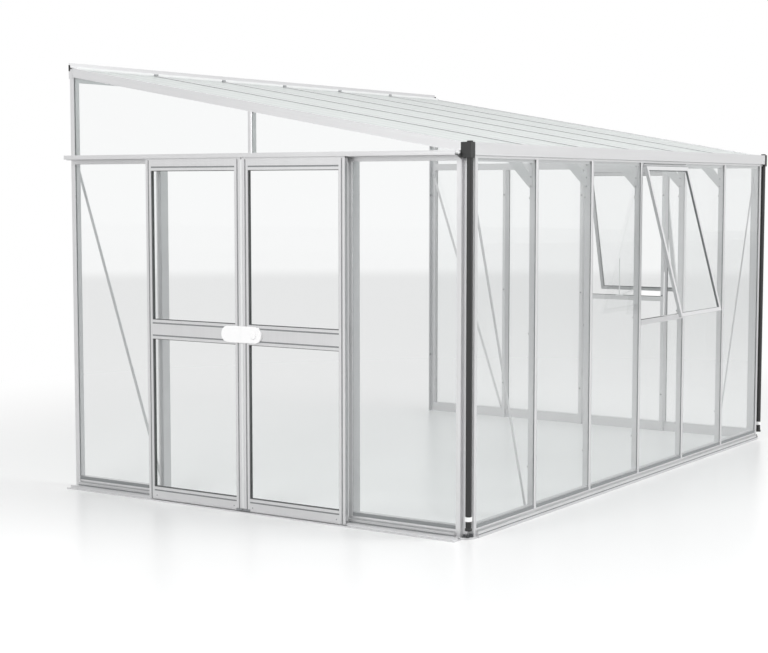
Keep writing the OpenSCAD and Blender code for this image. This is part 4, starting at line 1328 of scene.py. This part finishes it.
@dataclass
class DownpipeTrim:
    """Threaded spout, collar and ring ridges at the foot of both downpipes."""

    pipe_in: float = 0.004
    spigot_r: float = 0.0155
    ring_r: float = 0.0205
    ring_z: float = 0.108
    ring_h: float = 0.025

    def feet(self, z: float) -> list[Point]:
        """Places of both pipes' axes at a height."""
        return [(end * (LENGTH / 2 - self.pipe_in), self.pipe_in, z) for end in (-1.0, 1.0)]

    def build(self) -> None:
        """Builds the trim as pieces of the frame."""
        Thread("spout_thread", self.feet(0.076), self.spigot_r, 0.028, 4.0, 0.0018,
               BLACK_PLASTIC).build()
        Lathed("spout_collars", [(0.0125, 0.0), (0.0180, 0.0), (0.0205, 0.002), (0.0205, 0.013),
                                 (0.0180, 0.016), (0.0150, 0.016)],
               self.feet(0.053), BLACK_PLASTIC).build()
        for k, z in enumerate((self.ring_z + 0.003, self.ring_z + self.ring_h - 0.007)):
            Lathed(f"ring_ridge_{k + 1}", [(self.ring_r - 0.0005, 0.0), (self.ring_r + 0.0016, 0.001),
                                           (self.ring_r + 0.0016, 0.003),
                                           (self.ring_r - 0.0005, 0.004)],
                   self.feet(z), WHITE_PLASTIC, "white_plastic").build()
        Lathed("pipe_caps", [(0.0010, 0.0), (0.0175, 0.0), (0.0175, 0.002), (0.0150, 0.004),
                             (0.0010, 0.0045)],
               self.feet(EAVE_Z + 0.090), BLACK_PLASTIC).build()


@dataclass
class HoodTrim:
    """Stop at the eave end of the doors' hood, and joints of the gutter."""

    end_y: float = 0.052

    def build(self) -> None:
        """Builds the trim as pieces of the frame."""
        stop = [Spot((-LENGTH / 2 - 0.056, self.end_y, 2.162), (0.030, 0.020, 0.012),
                     facing(0.0, -1.0, 0.0))]
        Repeated("hood_stop", Shape.BEAD, PALE_RUBBER, stop, slot="white_plastic", sides=20).build()
        sleeves = []
        for end in (-1.0, 1.0):
            low, high = sorted((end * (LENGTH / 2 - 0.026), end * (LENGTH / 2 - 0.050)))
            sleeves.append(strip((low, -0.0172, EAVE_Z + 0.017), (high, -0.0158, EAVE_Z + 0.0845)))
        Repeated("gutter_sleeves", Shape.BLOCK, BAR_X, sleeves).build()


@dataclass
class Stage:
    """White studio round the greenhouse: a pale floor, a soft sky and two soft lamps."""

    floor_half: float = 60.0
    floor_colour: str = "#E4E4E4"
    seen_floor: float = 0.93
    near: float = 3.2
    far: float = 8.0
    # Where the floor seen through glass ends, and how pale it is there.
    edge_near: float = 24.0
    edge_far: float = 30.0
    glass_floor: float = 0.86
    world_light: float = 0.62
    gloss_low: float = 0.95
    gloss_high: float = 1.0
    key_watts: float = 900.0
    fill_watts: float = 430.0

    def build(self) -> None:
        """Builds the floor, the world and the lamps."""
        self.floor()
        self.world()
        self.lamp("key_lamp", (1.5, -9.0, 7.5), 6.0, self.key_watts)
        self.lamp("fill_lamp", (-10.0, 1.0, 6.0), 5.0, self.fill_watts)

    def floor(self) -> None:
        """Lays the pale floor, a little glossy, which fades into the white distance."""
        half = self.floor_half
        mesh = bpy.data.meshes.new("floor")
        corners = [(-half, -half, 0.0), (half, -half, 0.0), (half, half, 0.0), (-half, half, 0.0)]
        mesh.from_pydata(corners, [], [(0, 1, 2, 3)])
        floor = bpy.data.objects.new("floor", mesh)
        bpy.context.scene.collection.objects.link(floor)
        material = bpy.data.materials.new("studio_floor")
        material.use_nodes = True
        tree = material.node_tree
        tree.nodes.clear()
        path = add_node(tree, "ShaderNodeLightPath")
        where = add_node(tree, "ShaderNodeTexCoord")
        reach = add_node(tree, "ShaderNodeVectorMath", {"operation": "LENGTH"},
                         {0: where.outputs["Object"]})
        away = add_node(tree, "ShaderNodeMapRange", {"interpolation_type": "SMOOTHSTEP"},
                        {0: reach.outputs["Value"], 1: self.near, 2: self.far, 3: 0.0, 4: 1.0})
        edge = add_node(tree, "ShaderNodeMapRange", {"interpolation_type": "SMOOTHSTEP"},
                        {0: reach.outputs["Value"], 1: self.edge_near, 2: self.edge_far,
                         3: self.glass_floor, 4: 1.0})
        seen = add_node(tree, "ShaderNodeMath", {"operation": "MAXIMUM"},
                        {0: path.outputs["Is Camera Ray"], 1: path.outputs["Is Transmission Ray"]})
        level = add_node(tree, "ShaderNodeMix", {"data_type": "FLOAT"},
                         {0: path.outputs["Is Camera Ray"], 2: edge.outputs[0], 3: 1.0})
        base = add_node(tree, "ShaderNodeMix", {"data_type": "RGBA"},
                        {0: seen.outputs[0], 6: linear(self.floor_colour),
                         7: (self.seen_floor, self.seen_floor, self.seen_floor, 1.0)})
        ground = add_node(tree, "ShaderNodeBsdfPrincipled", None,
                          {"Base Color": base.outputs[2], "Roughness": 0.28, "IOR": 1.4})
        white = add_node(tree, "ShaderNodeEmission", None,
                         {"Color": (1, 1, 1, 1), "Strength": level.outputs[0]})
        fade = add_node(tree, "ShaderNodeMath", {"operation": "MULTIPLY"},
                        {0: away.outputs[0], 1: seen.outputs[0]})
        mixed = add_node(tree, "ShaderNodeMixShader", None,
                         {0: fade.outputs[0], 1: ground.outputs[0], 2: white.outputs[0]})
        add_node(tree, "ShaderNodeOutputMaterial", None, {"Surface": mixed.outputs[0]})
        mesh.materials.append(material)

    def world(self) -> None:
        """Makes the sky: white to the eye and in glass, paler above for metal, soft for the rest."""
        world = bpy.data.worlds.new("studio_sky")
        bpy.context.scene.world = world
        world.use_nodes = True
        tree = world.node_tree
        tree.nodes.clear()
        path = add_node(tree, "ShaderNodeLightPath")
        where = add_node(tree, "ShaderNodeTexCoord")
        split = add_node(tree, "ShaderNodeSeparateXYZ", None, {0: where.outputs["Generated"]})
        rise = add_node(tree, "ShaderNodeMapRange", None,
                        {0: split.outputs["Z"], 1: -0.1, 2: 0.5,
                         3: self.gloss_low, 4: self.gloss_high})
        eye = add_node(tree, "ShaderNodeMath", {"operation": "MAXIMUM"},
                       {0: path.outputs["Is Camera Ray"], 1: path.outputs["Is Transmission Ray"]})
        white = add_node(tree, "ShaderNodeBackground", None, {"Color": (1, 1, 1, 1), "Strength": 1.0})
        sheen = add_node(tree, "ShaderNodeBackground", None,
                         {"Color": (1, 1, 1, 1), "Strength": rise.outputs[0]})
        light = add_node(tree, "ShaderNodeBackground", None,
                         {"Color": (1, 1, 1, 1), "Strength": self.world_light})
        metal = add_node(tree, "ShaderNodeMixShader", None,
                         {0: path.outputs["Is Glossy Ray"], 1: light.outputs[0],
                          2: sheen.outputs[0]})
        mixed = add_node(tree, "ShaderNodeMixShader", None,
                         {0: eye.outputs[0], 1: metal.outputs[0], 2: white.outputs[0]})
        add_node(tree, "ShaderNodeOutputWorld", None, {"Surface": mixed.outputs[0]})

    def lamp(self, name: str, place: Point, side: float, watts: float) -> None:
        """Hangs a square soft lamp that faces the middle of the greenhouse.

        Args:
            name: the lamp's name.
            place: where it hangs.
            side: length of its sides.
            watts: its power.
        """
        data = bpy.data.lights.new(name, "AREA")
        data.shape = "SQUARE"
        data.size = side
        data.energy = watts
        lamp = bpy.data.objects.new(name, data)
        bpy.context.scene.collection.objects.link(lamp)
        lamp.location = place
        towards = Vector((0.0, DEPTH / 2, 1.0)) - Vector(place)
        lamp.rotation_euler = towards.to_track_quat("-Z", "Y").to_euler()


@dataclass
class Viewpoint:
    """The camera, where the photograph was taken from."""

    place: Point = (-10.0081, -4.5688, 1.9684)
    tilt_deg: float = 85.128
    turn_deg: float = -56.511
    lens_mm: float = 76.53

    def build(self) -> None:
        """Builds the camera and makes it the scene's."""
        data = bpy.data.cameras.new("camera")
        data.lens = self.lens_mm
        data.sensor_width = 36.0
        data.sensor_fit = "HORIZONTAL"
        data.clip_end = 300.0
        camera = bpy.data.objects.new("camera", data)
        bpy.context.scene.collection.objects.link(camera)
        camera.location = self.place
        camera.rotation_euler = (math.radians(self.tilt_deg), 0.0, math.radians(self.turn_deg))
        bpy.context.scene.camera = camera


def corners(bounds: tuple[Vector, Vector]) -> list[list[float]]:
    """Turns a pair of corners into plain lists of numbers."""
    return [[round(v, 6) for v in corner] for corner in bounds]


def main() -> None:
    """Builds the greenhouse's looks in order."""
    logging.basicConfig(level=logging.INFO, format="%(name)s: %(message)s")
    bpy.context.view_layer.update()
    bpy.context.scene.view_settings.view_transform = "Standard"
    Viewpoint().build()
    Stage().build()
    dress_nodes()
    for door, meeting_y, side in ((LEFT_DOOR, 1.5495, 1.0), (RIGHT_DOOR, 1.5445, -1.0)):
        DoorTrim(door, meeting_y, side).build()
        DoorGrip(door, meeting_y, side).build()
    for trim in (FrameFixings(), Glazing(), WindowTrim(), WallPlateTrim(), DownpipeTrim(),
                 HoodTrim()):
        trim.build()


if __name__ == "__main__":
    main()
